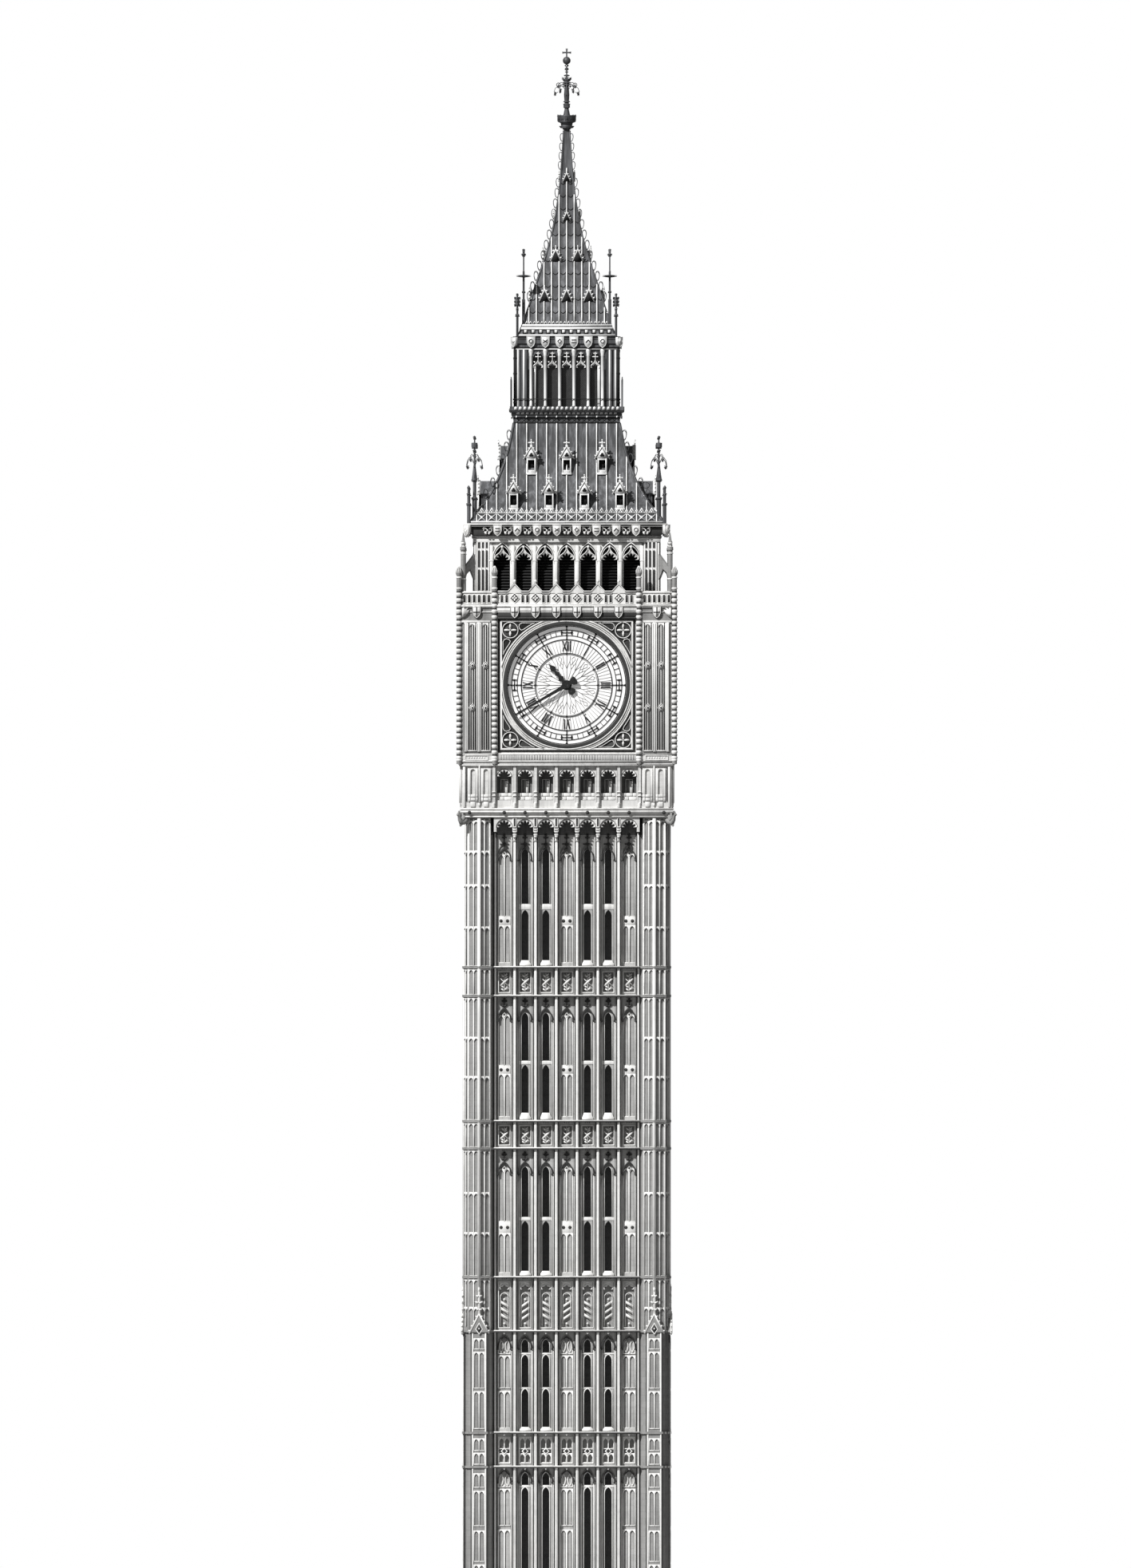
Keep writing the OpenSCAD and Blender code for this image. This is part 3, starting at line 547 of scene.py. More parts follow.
def finishes():
    """Every finish of the tower, by name."""
    c = bpy.context.scene.tower_colours
    stone, iron = tuple(c.stone), tuple(c.iron)
    made = {
        "stone": limestone("weathered_limestone", stone),
        # A lighter copy of the stone, without recess shade: painted light on the projecting carving.
        "carved": limestone("lit_pale_limestone", tuple(min(1, 1.1 * v) for v in stone), sooty=False, joints=False),
        # A darker copy of the stone: painted shade on the turrets, piers, cornices and corner beasts.
        "shade": limestone("shaded_limestone", tuple(0.42 * v for v in stone)),
        # Near-black stone for the dark lines, hoods, strips and grounds: painted shade of grooves, recesses and the
        # sides of projecting work.
        "soot": limestone("sooty_limestone", tuple(0.07 * v for v in stone), sooty=False, joints=False),
        "iron": cast_iron("roof_iron", iron),
        "trim": cast_iron("pale_iron_trim", tuple(min(1, v) for v in c.trim), stripe=0.1),
    }
    p = Paint("rough_brickwork")
    x, y, z = p.parts(p.place())
    bricks = p.node("ShaderNodeTexBrick", {"offset": 0.5}, {
        "Vector": p.vector(x + y, z, 0.0), "Color1": grey(0.20, 0.06) + (1,), "Color2": grey(0.13, 0.06) + (1,),
        "Mortar": grey(0.30) + (1,), "Scale": 1.0, "Mortar Size": 0.0009, "Brick Width": 0.023, "Row Height": 0.0075})
    made["brick"] = p.set(Base_Color=bricks, Roughness=0.9)
    p = Paint("leaded_window_glass")
    place = p.place()
    x, y, z = p.parts(place)
    a, b = (x + y + z) / 0.0105, (x + y - z) / 0.0105
    lead = (1 - abs(a.fract() - 0.5).above(0.0, 0.07)).max(1 - abs(b.fract() - 0.5).above(0.0, 0.07))
    dirt = p.noise(place, 40.0)
    made["glass"] = p.set(Base_Color=p.mix(lead, p.mix(dirt, grey(0.012), grey(0.05)), grey(0.10)),
                          Roughness=0.12 + 0.5 * lead, Normal=p.bump(lead, 0.4, 0.001), Coat_Weight=0.3)
    p = Paint("opal_dial_glass")
    place = p.place()
    cloud = p.noise(place, 9.0, 3.0)
    seeds = p.noise(place, 130.0, 2.0)
    # The dial glass glows faintly: painted light that lifts the shade on the dials.
    made["opal"] = p.set(Base_Color=p.mix(cloud, grey(0.93, 0.01), grey(0.80, 0.015)), Roughness=0.16 + 0.18 * cloud,
                         Normal=p.bump(seeds, 0.05, 0.0008), Coat_Weight=0.4,
                         Emission_Color=grey(1.0) + (1,), Emission_Strength=0.20)
    # Near-black boards: painted shade of the belfry's dark inside; the roofs' near-black lines and batten shadows
    # also take this finish.
    p = Paint("shade_black_boards")
    x, y, z = p.parts(p.place())
    runs = p.noise(p.vector(x * 12.0, y * 12.0, z * 90.0), 1.0, 4.0, 0.6)
    made["boards"] = p.set(Base_Color=p.mix(runs, grey(0.010), grey(0.035)), Roughness=0.85,
                           Normal=p.bump(runs, 0.3, 0.001), Specular_IOR_Level=0.1)
    p = Paint("fine_glazing_bars")
    place = p.place()
    wear = p.noise(place, 120.0, 3.0)
    made["fine"] = p.set(Base_Color=p.mix(wear, grey(0.16), grey(0.24)), Roughness=0.5, Metallic=0.2,
                         Normal=p.bump(wear, 0.1, 0.0004))
    p = Paint("black_dial_paint")
    place = p.place()
    wear = p.noise(place, 90.0, 4.0)
    made["black"] = p.set(Base_Color=p.mix(wear.above(0.5, 0.8), grey(0.012), grey(0.05)),
                          Roughness=0.30 + 0.3 * wear, Normal=p.bump(wear, 0.1, 0.0006), Coat_Weight=0.25)
    return made


FINISH = {}


def piece(name, form, finish):
    """Puts a form into a mesh object at the origin that rides on the tower."""
    mesh = bpy.data.meshes.new(name)
    mesh.vertices.add(len(form.points))
    mesh.vertices.foreach_set("co", (form.points / 1000).ravel())
    mesh.loops.add(len(form.corners))
    mesh.loops.foreach_set("vertex_index", form.corners)
    mesh.polygons.add(len(form.counts))
    mesh.polygons.foreach_set("loop_start", np.cumsum(form.counts) - form.counts)
    mesh.update(calc_edges=True)
    mesh.validate()
    bm = bmesh.new()
    bm.from_mesh(mesh)
    bmesh.ops.recalc_face_normals(bm, faces=bm.faces)
    bm.to_mesh(mesh)
    bm.free()
    made = bpy.data.objects.new(name, mesh)
    bpy.context.scene.collection.objects.link(made)
    mesh.materials.append(FINISH[finish])
    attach(made, TOWER)
    return made


# ---------------------------------------------------------------- stonework of the shaft

BAYS = [(i - 3) * BAY for i in range(7)]
RIBS = [(i - 2.5) * BAY for i in range(6)]
GLAZED = (1, 2, 4, 5)
BLIND = (0, 3, 6)
# Tiers of the blind bays above each storey's foot: bottom, top, and 0 plain, 1 a break with two holes, 2 small heads.
TIERS = (
    ((20, 424, 0), (445, 663, 0), (674, 756, 2)), ((24, 244, 0), (259, 453, 0), (463, 550, 2)),
    ((24, 259, 0), (259, 325, 1), (325, 637, 0)), ((24, 278, 0), (278, 324, 1), (324, 622, 0)),
    ((24, 247, 0), (247, 296, 1), (296, 665, 0)),
)
HOODS = (770, 562, 674, 659, 699)


def spandrel(line, top, out, depth):
    """The stone over an arch line, up to a level."""
    return web(np.stack([line[:, 0], np.full(len(line), float(top))], -1), line, out, depth)


def blind_lights(u, low, high, out, depth, half=38.0, middle=9.0, edge=6.0):
    """Two narrow pointed lights side by side in a plain frame."""
    width = half - middle / 2 - edge
    forms = [post(u, middle / 2, low, high, out, depth),
             block(u - half, u - half + edge, low, high, out, depth),
             block(u + half - edge, u + half, low, high, out, depth),
             post(u, half, low, low + 5, out - 1, depth - 1)]
    for s in (-1, 1):
        line = arch_line(u + s * (middle + width) / 2, high - 6 - width * 0.85, width, width * 0.85, 4)
        forms.append(spandrel(line, high, out - 0.5, depth - 0.5))
    return joined(forms)


def light_lines(u, low, high, out, half=38.0, middle=9.0, edge=6.0):
    """Thin dark rolls inside the two lights of a blind panel: their near-black paints the shade along the lights'
    edges.
    """
    width = half - middle / 2 - edge - 3
    forms = []
    for s in (-1, 1):
        c = u + s * (middle + width + 3) / 2
        line = arch_line(c, high - 9 - width * 0.85, width, width * 0.85, 4)
        forms.append(moulding(np.vstack([[c + width / 2, low + 8], line, [c - width / 2, low + 8]]), 2.6, out, 3))
    return joined(forms)


def hood(u, top, out, width=72.0, rise=60.0, drop=14.0, bar=6.5, depth=16.0):
    """A pointed hood mould with short upright ends."""
    line = arch_line(u, top - rise, width, rise, 6)
    low = top - rise - drop
    path = np.vstack([[u + width / 2 + 7, low], [u + width / 2, low + 1], line, [u - width / 2, low + 1],
                      [u - width / 2 - 7, low]])
    return moulding(path, bar, out, depth)


def leaf(u, v, length, width, degrees, out, depth):
    """A three-lobed leaf that grows from (u, v); 0 degrees points up and positive ones lean right."""
    shape = np.array([(0.12, 0), (0.5, 0.3), (0.32, 0.45), (0.5, 0.75), (0.15, 0.72), (0, 1),
                      (-0.15, 0.72), (-0.5, 0.75), (-0.32, 0.45), (-0.5, 0.3), (-0.12, 0)]) * (width, length)
    return panel(shape[::-1] + (u, v), out, depth).tilted(degrees, u, v)


def leaf_finial(u, low, high, out, depth, spread=25.0):
    """A stem with two pairs of leaves and a bud."""
    tall = high - low
    forms = [post(u, 3, low - 4, high - 8, out - 1, depth - 1)]
    for share, size in ((0.18, 1.0), (0.58, 0.85)):
        for s in (-1, 1):
            forms.append(leaf(u, low + share * tall, spread * size, spread * 0.5, s * 62, out, depth))
    forms.append(leaf(u, high - 20, 20, 17, 0, out, depth))
    return joined(forms)


def cross_finial(u, low, out, depth):
    """A stem with a wide knop and a narrow one above it."""
    return joined([
        post(u, 3, low - 4, low + 74, out - 1, depth - 1),
        post(u, 26, low + 18, low + 25, out, depth), post(u, 9, low + 14, low + 29, out + 1, depth),
        post(u, 15, low + 55, low + 62, out, depth), post(u, 6, low + 50, low + 66, out + 1, depth),
        leaf(u, low + 66, 18, 15, 0, out, depth)])


def sill(u, low, high, out):
    """A sloping sill: wide and forward at its foot, narrow and back under the light."""
    rows = [front([u - 34, u + 34, u + 34, u - 34], [low] * 4, [out, out, out - 14, out - 14]),
            front([u - 34, u + 34, u + 34, u - 34], [low + 8] * 4, [out, out, out - 14, out - 14]),
            front([u - 21, u + 21, u + 21, u - 21], [high] * 4, [out - 7, out - 7, out - 14, out - 14])]
    return tube(rows)


def light_frame(u, low, tall, out, depth, width=45.0, bar=5.0):
    """A roll round a pointed light."""
    rise = 0.866 * 40 * width / 45
    line = arch_line(u, low + tall - rise + 2, width, rise, 5)
    path = np.vstack([[u + width / 2, low], line, [u - width / 2, low]])
    return moulding(path, bar, out, depth)


def shaft_bays():
    """Blind lights, frames, hoods, finials and sills of the seven bays, by finish; the hoods, finials and thin strips
    beside the frames are near-black, as painted shade.
    """
    pale, dark, iron = [], [], []
    floor = WALL_OUT - 8
    for i, foot in enumerate(STOREY_Z):
        tiers, top = TIERS[i], foot + HOODS[i]
        for b in BLIND:
            u = BAYS[b]
            for low, high, kind in tiers:
                if kind == 0:
                    pale.append(blind_lights(u, foot + low, foot + high, floor + 7, 8))
                    dark.append(light_lines(u, foot + low, foot + high, floor + 4))
                elif kind == 1:
                    pale.append(post(u, 38, foot + low, foot + high, floor + 7, 8))
                    for s in (-1, 1):
                        dark.append(panel(ring(u + s * 19, foot + (low + high) / 2, 10, 12)[::-1], floor + 8.2, 2))
                else:
                    for s in (-1, 1):
                        line = arch_line(u + s * 18, foot + (low + high) / 2, 24, 34, 4)
                        eye = np.vstack([line, (2 * np.array([u + s * 18, foot + (low + high) / 2]) - line)[1:-1]])
                        pale.append(moulding(eye, 5, floor + 7, 8, closed=True))
                    pale.append(moulding([(u - 35, foot + high + 2), (u - 35, foot + low), (u + 35, foot + low),
                                          (u + 35, foot + high + 2)], 6, floor + 7, 8))
                    pale.append(panel(diamond(u, foot + low + 3, 8, 12), floor + 8, 8))
            if i > 1:
                pale.append(moulding(diamond(u, foot + tiers[-1][1], 11, 14), 4, floor + 9, 8, closed=True))
                dark.append(panel(ring(u, foot + tiers[-1][1], 4, 8)[::-1], floor + 8.5, 1))
        for b in GLAZED:
            u = BAYS[b]
            for n, (low, tall) in enumerate(LIGHTS[i]):
                last = n == len(LIGHTS[i]) - 1
                if last or i < 2:
                    pale.append(light_frame(u, foot + low + (0 if n else 2), tall, floor + 5, 6))
                iron += [post(u, 20, foot + low + tall * k, foot + low + tall * k + 2.5, floor - 42, 4)
                         for k in ((0.36, 0.66) if tall > 150 else (0.5,))]
            for n in range(len(LIGHTS[i]) - 1):
                low, high = sum(LIGHTS[i][n]), LIGHTS[i][n + 1][0]
                pale.append(post(u, 37, foot + low + 2, foot + high - 2, floor + 3, 4))
            pale.append(sill(u, foot + 9, foot + LIGHTS[i][0][0], WALL_OUT + 7))
            pale += posts(u, 36, 2.5, foot + 20, top - 66, floor + 9, 8)
            # Painted shade: thin near-black strips inside the frames.
            dark += posts(u, 31.5, 1.3, foot + 20, top - 66, floor + 3, 4)
        for b in range(7):
            u = BAYS[b]
            # Hoods and finials in near-black stone: painted shade.
            dark.append(hood(u, top, WALL_OUT + 13))
            if i in (2, 3):
                dark.append(leaf_finial(u, top + 2, top + 66, WALL_OUT + 7, 8))
            elif i == 4:
                dark.append(cross_finial(u, top + 2, WALL_OUT + 8, 9))
            for s in (-1, 1):
                pale.append(post(u + s * 44, 2.2, foot + 6, top - 70 if i < 4 else foot + 760,
                                  WALL_OUT + 6, 7))
                dark.append(post(u + s * 40, 1.3, foot + 6, top - 74, WALL_OUT + 2, 3))
    return four_sides(pale, dark, iron)


def ribbon_panel(u, low, high, out, lean, studs=0):
    """Foliage and a ribbon that crosses the panel, in low relief on a ground that the recess's painted shade darkens.
    """
    forms = []
    mid, half = (low + high) / 2, 24.0
    if studs:
        for v in np.linspace(low + 62, high - 70, 3):
            forms.append(panel([(u - half, v - 16 * lean - 8), (u + half, v + 16 * lean - 8),
                                (u + half, v + 16 * lean + 8), (u - half, v - 16 * lean + 8)], out, 7))
        for v in (low + 22, high - 42):
            forms.append(stud(u, v, 7, out))
    else:
        for rise, bar in ((22 * lean, 10), (-22 * lean, 4)):
            forms.append(moulding([(u - half, mid - rise), (u + half, mid + rise)], bar, out - (bar < 5) * 2, 8))
        forms.append(post(u, 1.8, low + 6, high - 6, out - 4, 5))
        for v, s in ((low + 8, -1), (low + 14, 1), (mid + 22, 1), (mid + 30, -1), (high - 22, 1), (mid - 34, -1)):
            forms.append(leaf(u + s * 3, v, 23, 11, s * 48, out - 3, 6))
    return joined(forms)


def stud(u, v, radius, out, sides=8):
    """A small round boss on the front."""
    a = np.linspace(0, 2 * math.pi, sides, endpoint=False)
    rows = [front(u + r * np.cos(a), v + r * np.sin(a), o)
            for r, o in ((radius, out - radius * 0.9), (radius * 0.9, out - 0.35 * radius), (radius * 0.45, out))]
    return tube(rows)


def band_panels():
    """The carved panels between the storeys, by finish."""
    pale, dark = [], []
    for i, foot in enumerate(BAND_Z):
        tall = STOREY_Z[i] - foot
        low, high = foot + 22, foot + tall - 28
        ground = WALL_OUT - 22
        for b, u in enumerate(BAYS):
            lean = 1 if b % 2 else -1
            pale.append(moulding([(u - 34, low - 2), (u + 34, low - 2), (u + 34, high + 2), (u - 34, high + 2)],
                                 5, WALL_OUT + 5, 8, closed=True))
            if i in (3, 4):
                pale.append(ribbon_panel(u, low, high, ground + 16, 1))
            elif i == 2:
                line = arch_line(u, high - 44, 58, 34, 10)
                lobed = foils(u, high - 44, 26, 3, 0.45, 20)
                pale.append(web(line, lobed, WALL_OUT, 8))
                pale.append(spandrel(line, high + 2, WALL_OUT - 1, 8))
                line = arch_line(u, high - 88, 46, 24, 6)
                pale.append(moulding(np.vstack([[u + 23, low + 4], line, [u - 23, low + 4]]), 4, WALL_OUT - 4, 10))
                pale.append(ribbon_panel(u, low, high - 60, ground + 14, lean, 1))
            else:
                mid = low + (high - low) * 0.46
                pale.append(blind_lights(u, low, mid - 12, WALL_OUT - 2, 12, 32, 6, 3))
                pale.append(blind_lights(u, mid + 12, high, WALL_OUT - 2, 12, 32, 6, 3))
                pale.append(moulding(polar(u, mid, 17, np.arange(0, 360, 90)), 6, WALL_OUT + 1, 14, closed=True))
                dark.append(stud(u, mid, 9, WALL_OUT - 2))
    return four_sides(pale, dark)


def foils(cx, cz, r, count, depth, n):
    """The lobed upper half of a light, from the right to the left: r * (1 - depth * (1 - |sin(count * a)|^0.6))."""
    a = np.linspace(0, 180, n + 1)
    return polar(cx, cz, r * (1 - depth * (1 - np.abs(np.sin(np.radians(a) * count)) ** 0.6)), a)


def string_courses():
    """Two rolls on each string course, with small bosses or pointed drops under every bay."""
    pale, dark = [], []
    out = RIB_OUT + 13
    for z in BAND_Z + STOREY_Z:
        pale.append(roll(WALL_L / 2, z + 3.5, 3.6, out - 0.5))
        # Painted shade: the lower roll is near-black, as the shade under the course.
        dark.append(roll(WALL_L / 2, z - 4.5, 2.6, out - 1))
        for u in BAYS:
            if z in (2067, 1272, 1472):
                pale.append(panel([(u - 8, z - 6), (u, z - 21), (u + 8, z - 6)], out - 4, 14))
            else:
                dark += [stud(u + s * 12, z - 7, 4.5, out + 0.5, 6) for s in (-1, 0, 1)]
    return four_sides(pale, dark)


def rib_dressing():
    """Face rolls, gabled tops and collars of the ribs, and the dark rolls beside them, whose near-black paints the
    ribs' shade, by finish.
    """
    forms, dark = [], []
    top = SHAFT_TOP - 117
    for u in RIBS:
        # Painted shade: near-black strips on both sides of each rib.
        dark += posts(u, 10.5, 2.5, 180, top, WALL_OUT + 9, 10)
        forms.append(post(u, 5, 180, top - 20, RIB_OUT + 2.5, 4))
        forms.append(panel([(u - 12, top - 22), (u + 12, top - 22), (u, top + 6)], RIB_OUT + 6, 14))
        for z in (top + 14, top + 30, top + 44):
            forms.append(post(u, 11, z, z + 8, SHAFT_HALF + 3, 40))
            dark.append(post(u, 9, z + 8, z + 11, SHAFT_HALF + 1.5, 30))
        forms.append(panel([(u - 11, top + 12), (u, top - 4), (u + 11, top + 12)], SHAFT_HALF + 2, 60))
    for s in (-1, 1):
        u = s * (WALL_L / 2 - 7)
        forms.append(post(u, 5, 180, SHAFT_TOP - 90, WALL_OUT + 16, 17))
        dark.append(post(u - s * 9, 3, 180, SHAFT_TOP - 90, WALL_OUT + 8, 9))
    return four_sides(forms, dark)


def limb(path, radii, sides=8):
    """A round limb whose radius changes along a path (u, v): rings stand square to the path."""
    path, radii = np.asarray(path, float), np.asarray(radii, float)
    run = np.gradient(path, axis=0)
    run /= np.linalg.norm(run, axis=1, keepdims=True)
    a = np.linspace(0, 2 * math.pi, sides, endpoint=False)
    across = radii[:, None] * np.cos(a)
    points = front(path[:, 0:1] - run[:, 1:2] * across, path[:, 1:2] + run[:, 0:1] * across,
                   radii[:, None] * np.sin(a))
    return tube(points)


def gargoyles():
    """A crouching winged beast at each corner of the shaft's cornice."""
    low = SHAFT_TOP
    body = limb([(-14, low - 6), (10, low - 26), (30, low - 30), (44, low - 12), (50, low + 10), (60, low + 20),
                 (68, low + 15)],
                [16, 17, 15, 11, 8, 9, 3])
    wing = panel([(4, low - 28), (26, low - 20), (40, low + 6), (28, low + 2), (34, low + 30), (18, low + 10),
                  (14, low + 34),
                  (2, low + 4)], 12, 24)
    ear = panel([(48, low + 22), (56, low + 26), (50, low + 40)], 5, 10)
    claw = limb([(24, low - 34), (40, low - 48), (46, low - 40)], [6, 5, 2])
    corner = joined([body, wing, ear, claw]).turned(-45).copies([(CORNICE_OUT - 28, 28 - CORNICE_OUT, 0)])
    return corner.all_round()


def corbel_table():
    """Cusped webs in the round arches, slotted blocks over the ribs, and the cornice's mouldings and bosses."""
    pale, dark = [], []
    centre = SHAFT_TOP - 8 - 48
    for u in BAYS:
        pale.append(web(arc(u, centre, 50, 0, 180, 30), foils(u, centre, 40, 5, 0.42, 30), SHAFT_HALF - 5, 10))
        dark.append(moulding(arc(u, centre, 47.5, 0, 180, 16), 2.5, SHAFT_HALF + 1.5, 3))
    for u in RIBS:
        pale.append(moulding([(u - 8, centre + 2), (u + 8, centre + 2), (u + 8, SHAFT_TOP - 3),
                              (u - 8, SHAFT_TOP - 3)],
                             5, SHAFT_HALF + 5, 7, closed=True))
        dark.append(post(u, 5, centre + 4, SHAFT_TOP - 5, SHAFT_HALF + 1, 3))
    low, high = CORNICE_Z
    span_u = CORNICE_OUT - 2
    for z, out, r in ((low + 6, SHAFT_HALF + 9, 4), (low + 22, SHAFT_HALF + 9, 3), (high - 22, CORNICE_OUT, 3),
                      (high - 5, CORNICE_OUT + 1, 4)):
        pale.append(roll(span_u, z, r, out))
    for u in BAYS + [-SHAFT_HALF + 30, SHAFT_HALF - 30]:
        dark.append(stud(u, (low + high) / 2 + 2, 12, CORNICE_OUT + 6, 10))
    return four_sides(pale, dark)


def turret_facets():
    """Slender ribs and arched transoms on the turrets' faces, and round shafts on their arrises."""
    apothem, side = TURRET_R * math.cos(math.pi / 8), 2 * TURRET_R * math.sin(math.pi / 8)
    start = STOREY_Z[1] + 590
    forms, dark = [], []
    levels = (
        [start + 6, BAND_Z[2] + 140, STOREY_Z[2] - 10], [STOREY_Z[2] + 8, 2645, 2880, BAND_Z[3] - 8],
        [BAND_Z[3] + 8, STOREY_Z[3] - 8], [STOREY_Z[3] + 8, 3560, 3790, BAND_Z[4] - 8],
        [BAND_Z[4] + 8, STOREY_Z[4] - 8], [STOREY_Z[4] + 8, 4437, 4684, 4881, SHAFT_TOP - 16],
    )
    edge, middle = 5.5, 7.0
    width = side / 2 - middle / 2 - edge + 1
    for tier in levels:
        for low, high in zip(tier[:-1], tier[1:]):
            for s in (-1, 1):
                u = s * (middle / 2 + width / 2)
                line = arch_line(u, high - 8 - 21, width, 20, 4)
                forms.append(spandrel(line, high, apothem + 4.5, 5.5))
                dark.append(moulding(line, 3.2, apothem + 5.5, 2.5))
                dark += [post(u + w, 1.1, low + 4, high - 26, apothem + 3.5, 3)
                         for w in (-width / 2 + 1, width / 2 - 1)]
                forms.append(post(u, width / 2, low, low + 3, apothem + 3, 4))
    for tier in levels:
        low, high = tier[0] - 8, tier[-1] + 8
        forms.append(block(-middle / 2, middle / 2, low, high, apothem + 6, 7))
        forms += [post(s * (side / 2 - edge / 2), edge / 2, low, high, apothem + 6, 8)
                  for s in (-1, 1)]
    facet, lines = joined(forms), joined(dark)
    place = (TURRET_C, -TURRET_C, 0)
    angles = (-22.5, 22.5, 67.5, 112.5)
    facets = joined([facet.turned(a).copies([place]) for a in angles])
    lines = joined([lines.turned(a).copies([place]) for a in angles])
    arrises = []
    for angle, r in ((-135, 6.5), (-90, 10.5), (-45, 7.5), (0, 10.5), (45, 6.5)):
        spot = (TURRET_C + TURRET_R * math.cos(math.radians(angle)),
                -TURRET_C + TURRET_R * math.sin(math.radians(angle)), 0)
        arrises.append(turned_form([(r, start), (r, SHAFT_TOP - 4)], 8, spot))
    arrises = joined(arrises)
    return joined([facets, arrises]).all_round(), lines.all_round()


def buttress_faces():
    """Twin blind lights on the lower buttresses, their gables' crockets, diamonds and finials."""
    pale, dark = [], []
    out = SHAFT_HALF + 6
    for low, high in ((200, 290), (312, 388), (394, 466), (500, 700), (716, 900), (925, 1133), (1150, 1235),
                      (1285, 1355), (1366, 1440), (1494, 1716), (1731, 1947), (1960, 2026)):
        pale.append(blind_lights(0, low, high, out + 5, 6, 33, 7, 5))
        dark.append(light_lines(0, low, high, out + 2.5, 33, 7, 5))
    pale += posts(0, 38, 4, 190, 2062, out + 4, 5)
    dark += posts(0, 47, 3, 190, 2050, out - 2, 5)
    top = STOREY_Z[1] + 590
    peak = top + 108
    for s in (-1, 1):
        pale.append(moulding([(s * 58, top - 8), (0, peak)], 8, out + 14, 14))
        for k in range(4):
            f = 0.1 + 0.24 * k
            u, v = s * 58 * (1 - f), top - 8 + (peak - top + 8) * f
            pale.append(leaf(u, v, 15, 13, s * 50, out + 13, 8))
    pale.append(moulding([(0, top - 12), (20, top + 18), (0, top + 52), (-20, top + 18)], 5, out + 11, 8,
                         closed=True))
    dark.append(panel([(0, top - 6), (16, top + 18), (0, top + 46), (-16, top + 18)], out + 10.6, 2))
    pale.append(stud(0, top + 20, 5, out + 13))
    pale.append(block(-4, 4, peak - 8, peak + 150, out + 8, 9))
    for v, reach in ((peak + 22, 16), (peak + 62, 24), (peak + 100, 16)):
        for s in (-1, 1):
            pale.append(leaf(0, v, reach + 6, 12, s * 70, out + 9, 8))
    pale.append(leaf(0, peak + 130, 30, 16, 0, out + 9, 8))
    shift = [(TURRET_C, 0, 0)]
    pale, dark = joined(pale).copies(shift), joined(dark).copies(shift)
    return pale.both().all_round(), dark.both().all_round()


# ---------------------------------------------------------------- arcade and clock stage

def arcade_work():
    """Cusped heads, low parapets, inner windows, post collars and pendants, and the corner piers' blind lights."""
    pale, dark = [], []
    low, high = ARCADE_Z
    centre, out = high - 20 - 43, ARCADE_OUT - 12
    for u in BAYS:
        pale.append(web(arc(u, centre, 45, 0, 180, 30), foils(u, centre, 36, 5, 0.42, 30), out, 9))
        dark.append(moulding(arc(u, centre, 43, 0, 180, 16), 2.2, ARCADE_OUT - 9, 3))
        for u0, u1, v0, v1 in ((-43, -3, 46, 66), (-1, 43, 46, 66), (-43, -20, 68, 88), (-18, 20, 68, 88),
                               (22, 43, 68, 88)):
            pale.append(block(u + u0, u + u1, low + v0, low + v1, out - 14, 20, 0.1))
        pale.append(moulding([(u - 20, low + 88), (u - 20, low + 168), (u + 20, low + 168), (u + 20, low + 88)],
                             3, ARCADE_OUT - 62, 6))
        pale.append(post(u, 1.5, low + 88, low + 166, ARCADE_OUT - 63, 5))
        pale.append(block(u + 5, u + 18, low + 90, low + 160, ARCADE_OUT - 66, 3))
    for u in RIBS + [-WALL_L / 2, WALL_L / 2]:
        out = ARCADE_OUT + 4
        pale.append(post(u, 10, low + 70, low + 76, out + 3, 20))
        pale.append(post(u, 10, low + 92, low + 98, out + 3, 20))
        pale.append(turned_form([(1, -4), (6, 2), (9, 10), (7, 20), (9, 26), (9, 32)], 8, (u, 5 - out, low)))
        dark += posts(u, 9.4, 1, low + 30, high - 4, out - 3, 5)
    corner, edge, out = [], ARCADE_OUT, ARCADE_OUT + 5
    for u in (edge - 70, edge - 146):
        top = high - 16
        line = arc(u, top - 18, 15, 0, 180, 10)
        corner.append(spandrel(line, top, out, 6))
        corner.append(moulding(np.vstack([[u + 15, low + 46], line, [u - 15, low + 46]]), 4, out + 1, 7))
        corner += posts(u, 22, 7, low + 40, top, out - 1, 5)
        corner.append(post(u, 28, low + 44, low + 60, out, 6))
        corner.append(post(u, 28, low + 64, low + 80, out, 6))
        corner.append(post(u, 14, low + 8, low + 38, out - 2, 4))
    corner.append(block(edge - 112, edge - 104, low + 30, high, out + 6, 12))
    corner.append(turned_form([(1, 6), (6, 16), (8, 30)], 8, (edge - 108, 4 - out, low)))
    corner.append(block(edge - 26, edge - 12, low + 6, high - 4, out, 6))
    dark.append(block(edge - 34, edge - 30, low + 40, high - 10, out - 2, 4).both())
    pale.append(joined(corner).both())
    return four_sides(pale, dark)


def base_course_work():
    """The fluted strip, the rolls and the small carved panels of the course under the clock."""
    low, high = BASE_Z
    out = CLOCK_OUT - 4
    pitch = 9.2
    flutes = block(-2.8, 2.8, low + 32, low + 62, out + 3, 4).copies(along(-45 * pitch, pitch, 91))
    forms, dark = [flutes], [block(-420, 420, low + 30, low + 64, out + 0.8, 2)]
    for z, face, r in ((low + 3, ARCADE_OUT + 8, 4), (low + 26, out, 4), (high - 5, out, 4)):
        forms.append(roll(out - 2, z, r, face))
    for s in (-1, 1):
        u = s * 528
        forms.append(moulding([(u - 66, low + 34), (u + 66, low + 34), (u + 66, low + 60), (u - 66, low + 60)], 4,
                              out + 5, 6, closed=True))
        forms += [stud(u + k * 15, low + 47, 5, out + 4, 6) for k in range(-3, 4)]
    for z, face in ((low + 8, ARCADE_OUT + 7), (low + 21, out - 1), (high - 11, out)):
        dark.append(block(-out + 4, out - 4, z - 1.5, z + 1.5, face, 4))
    return four_sides(forms, dark)


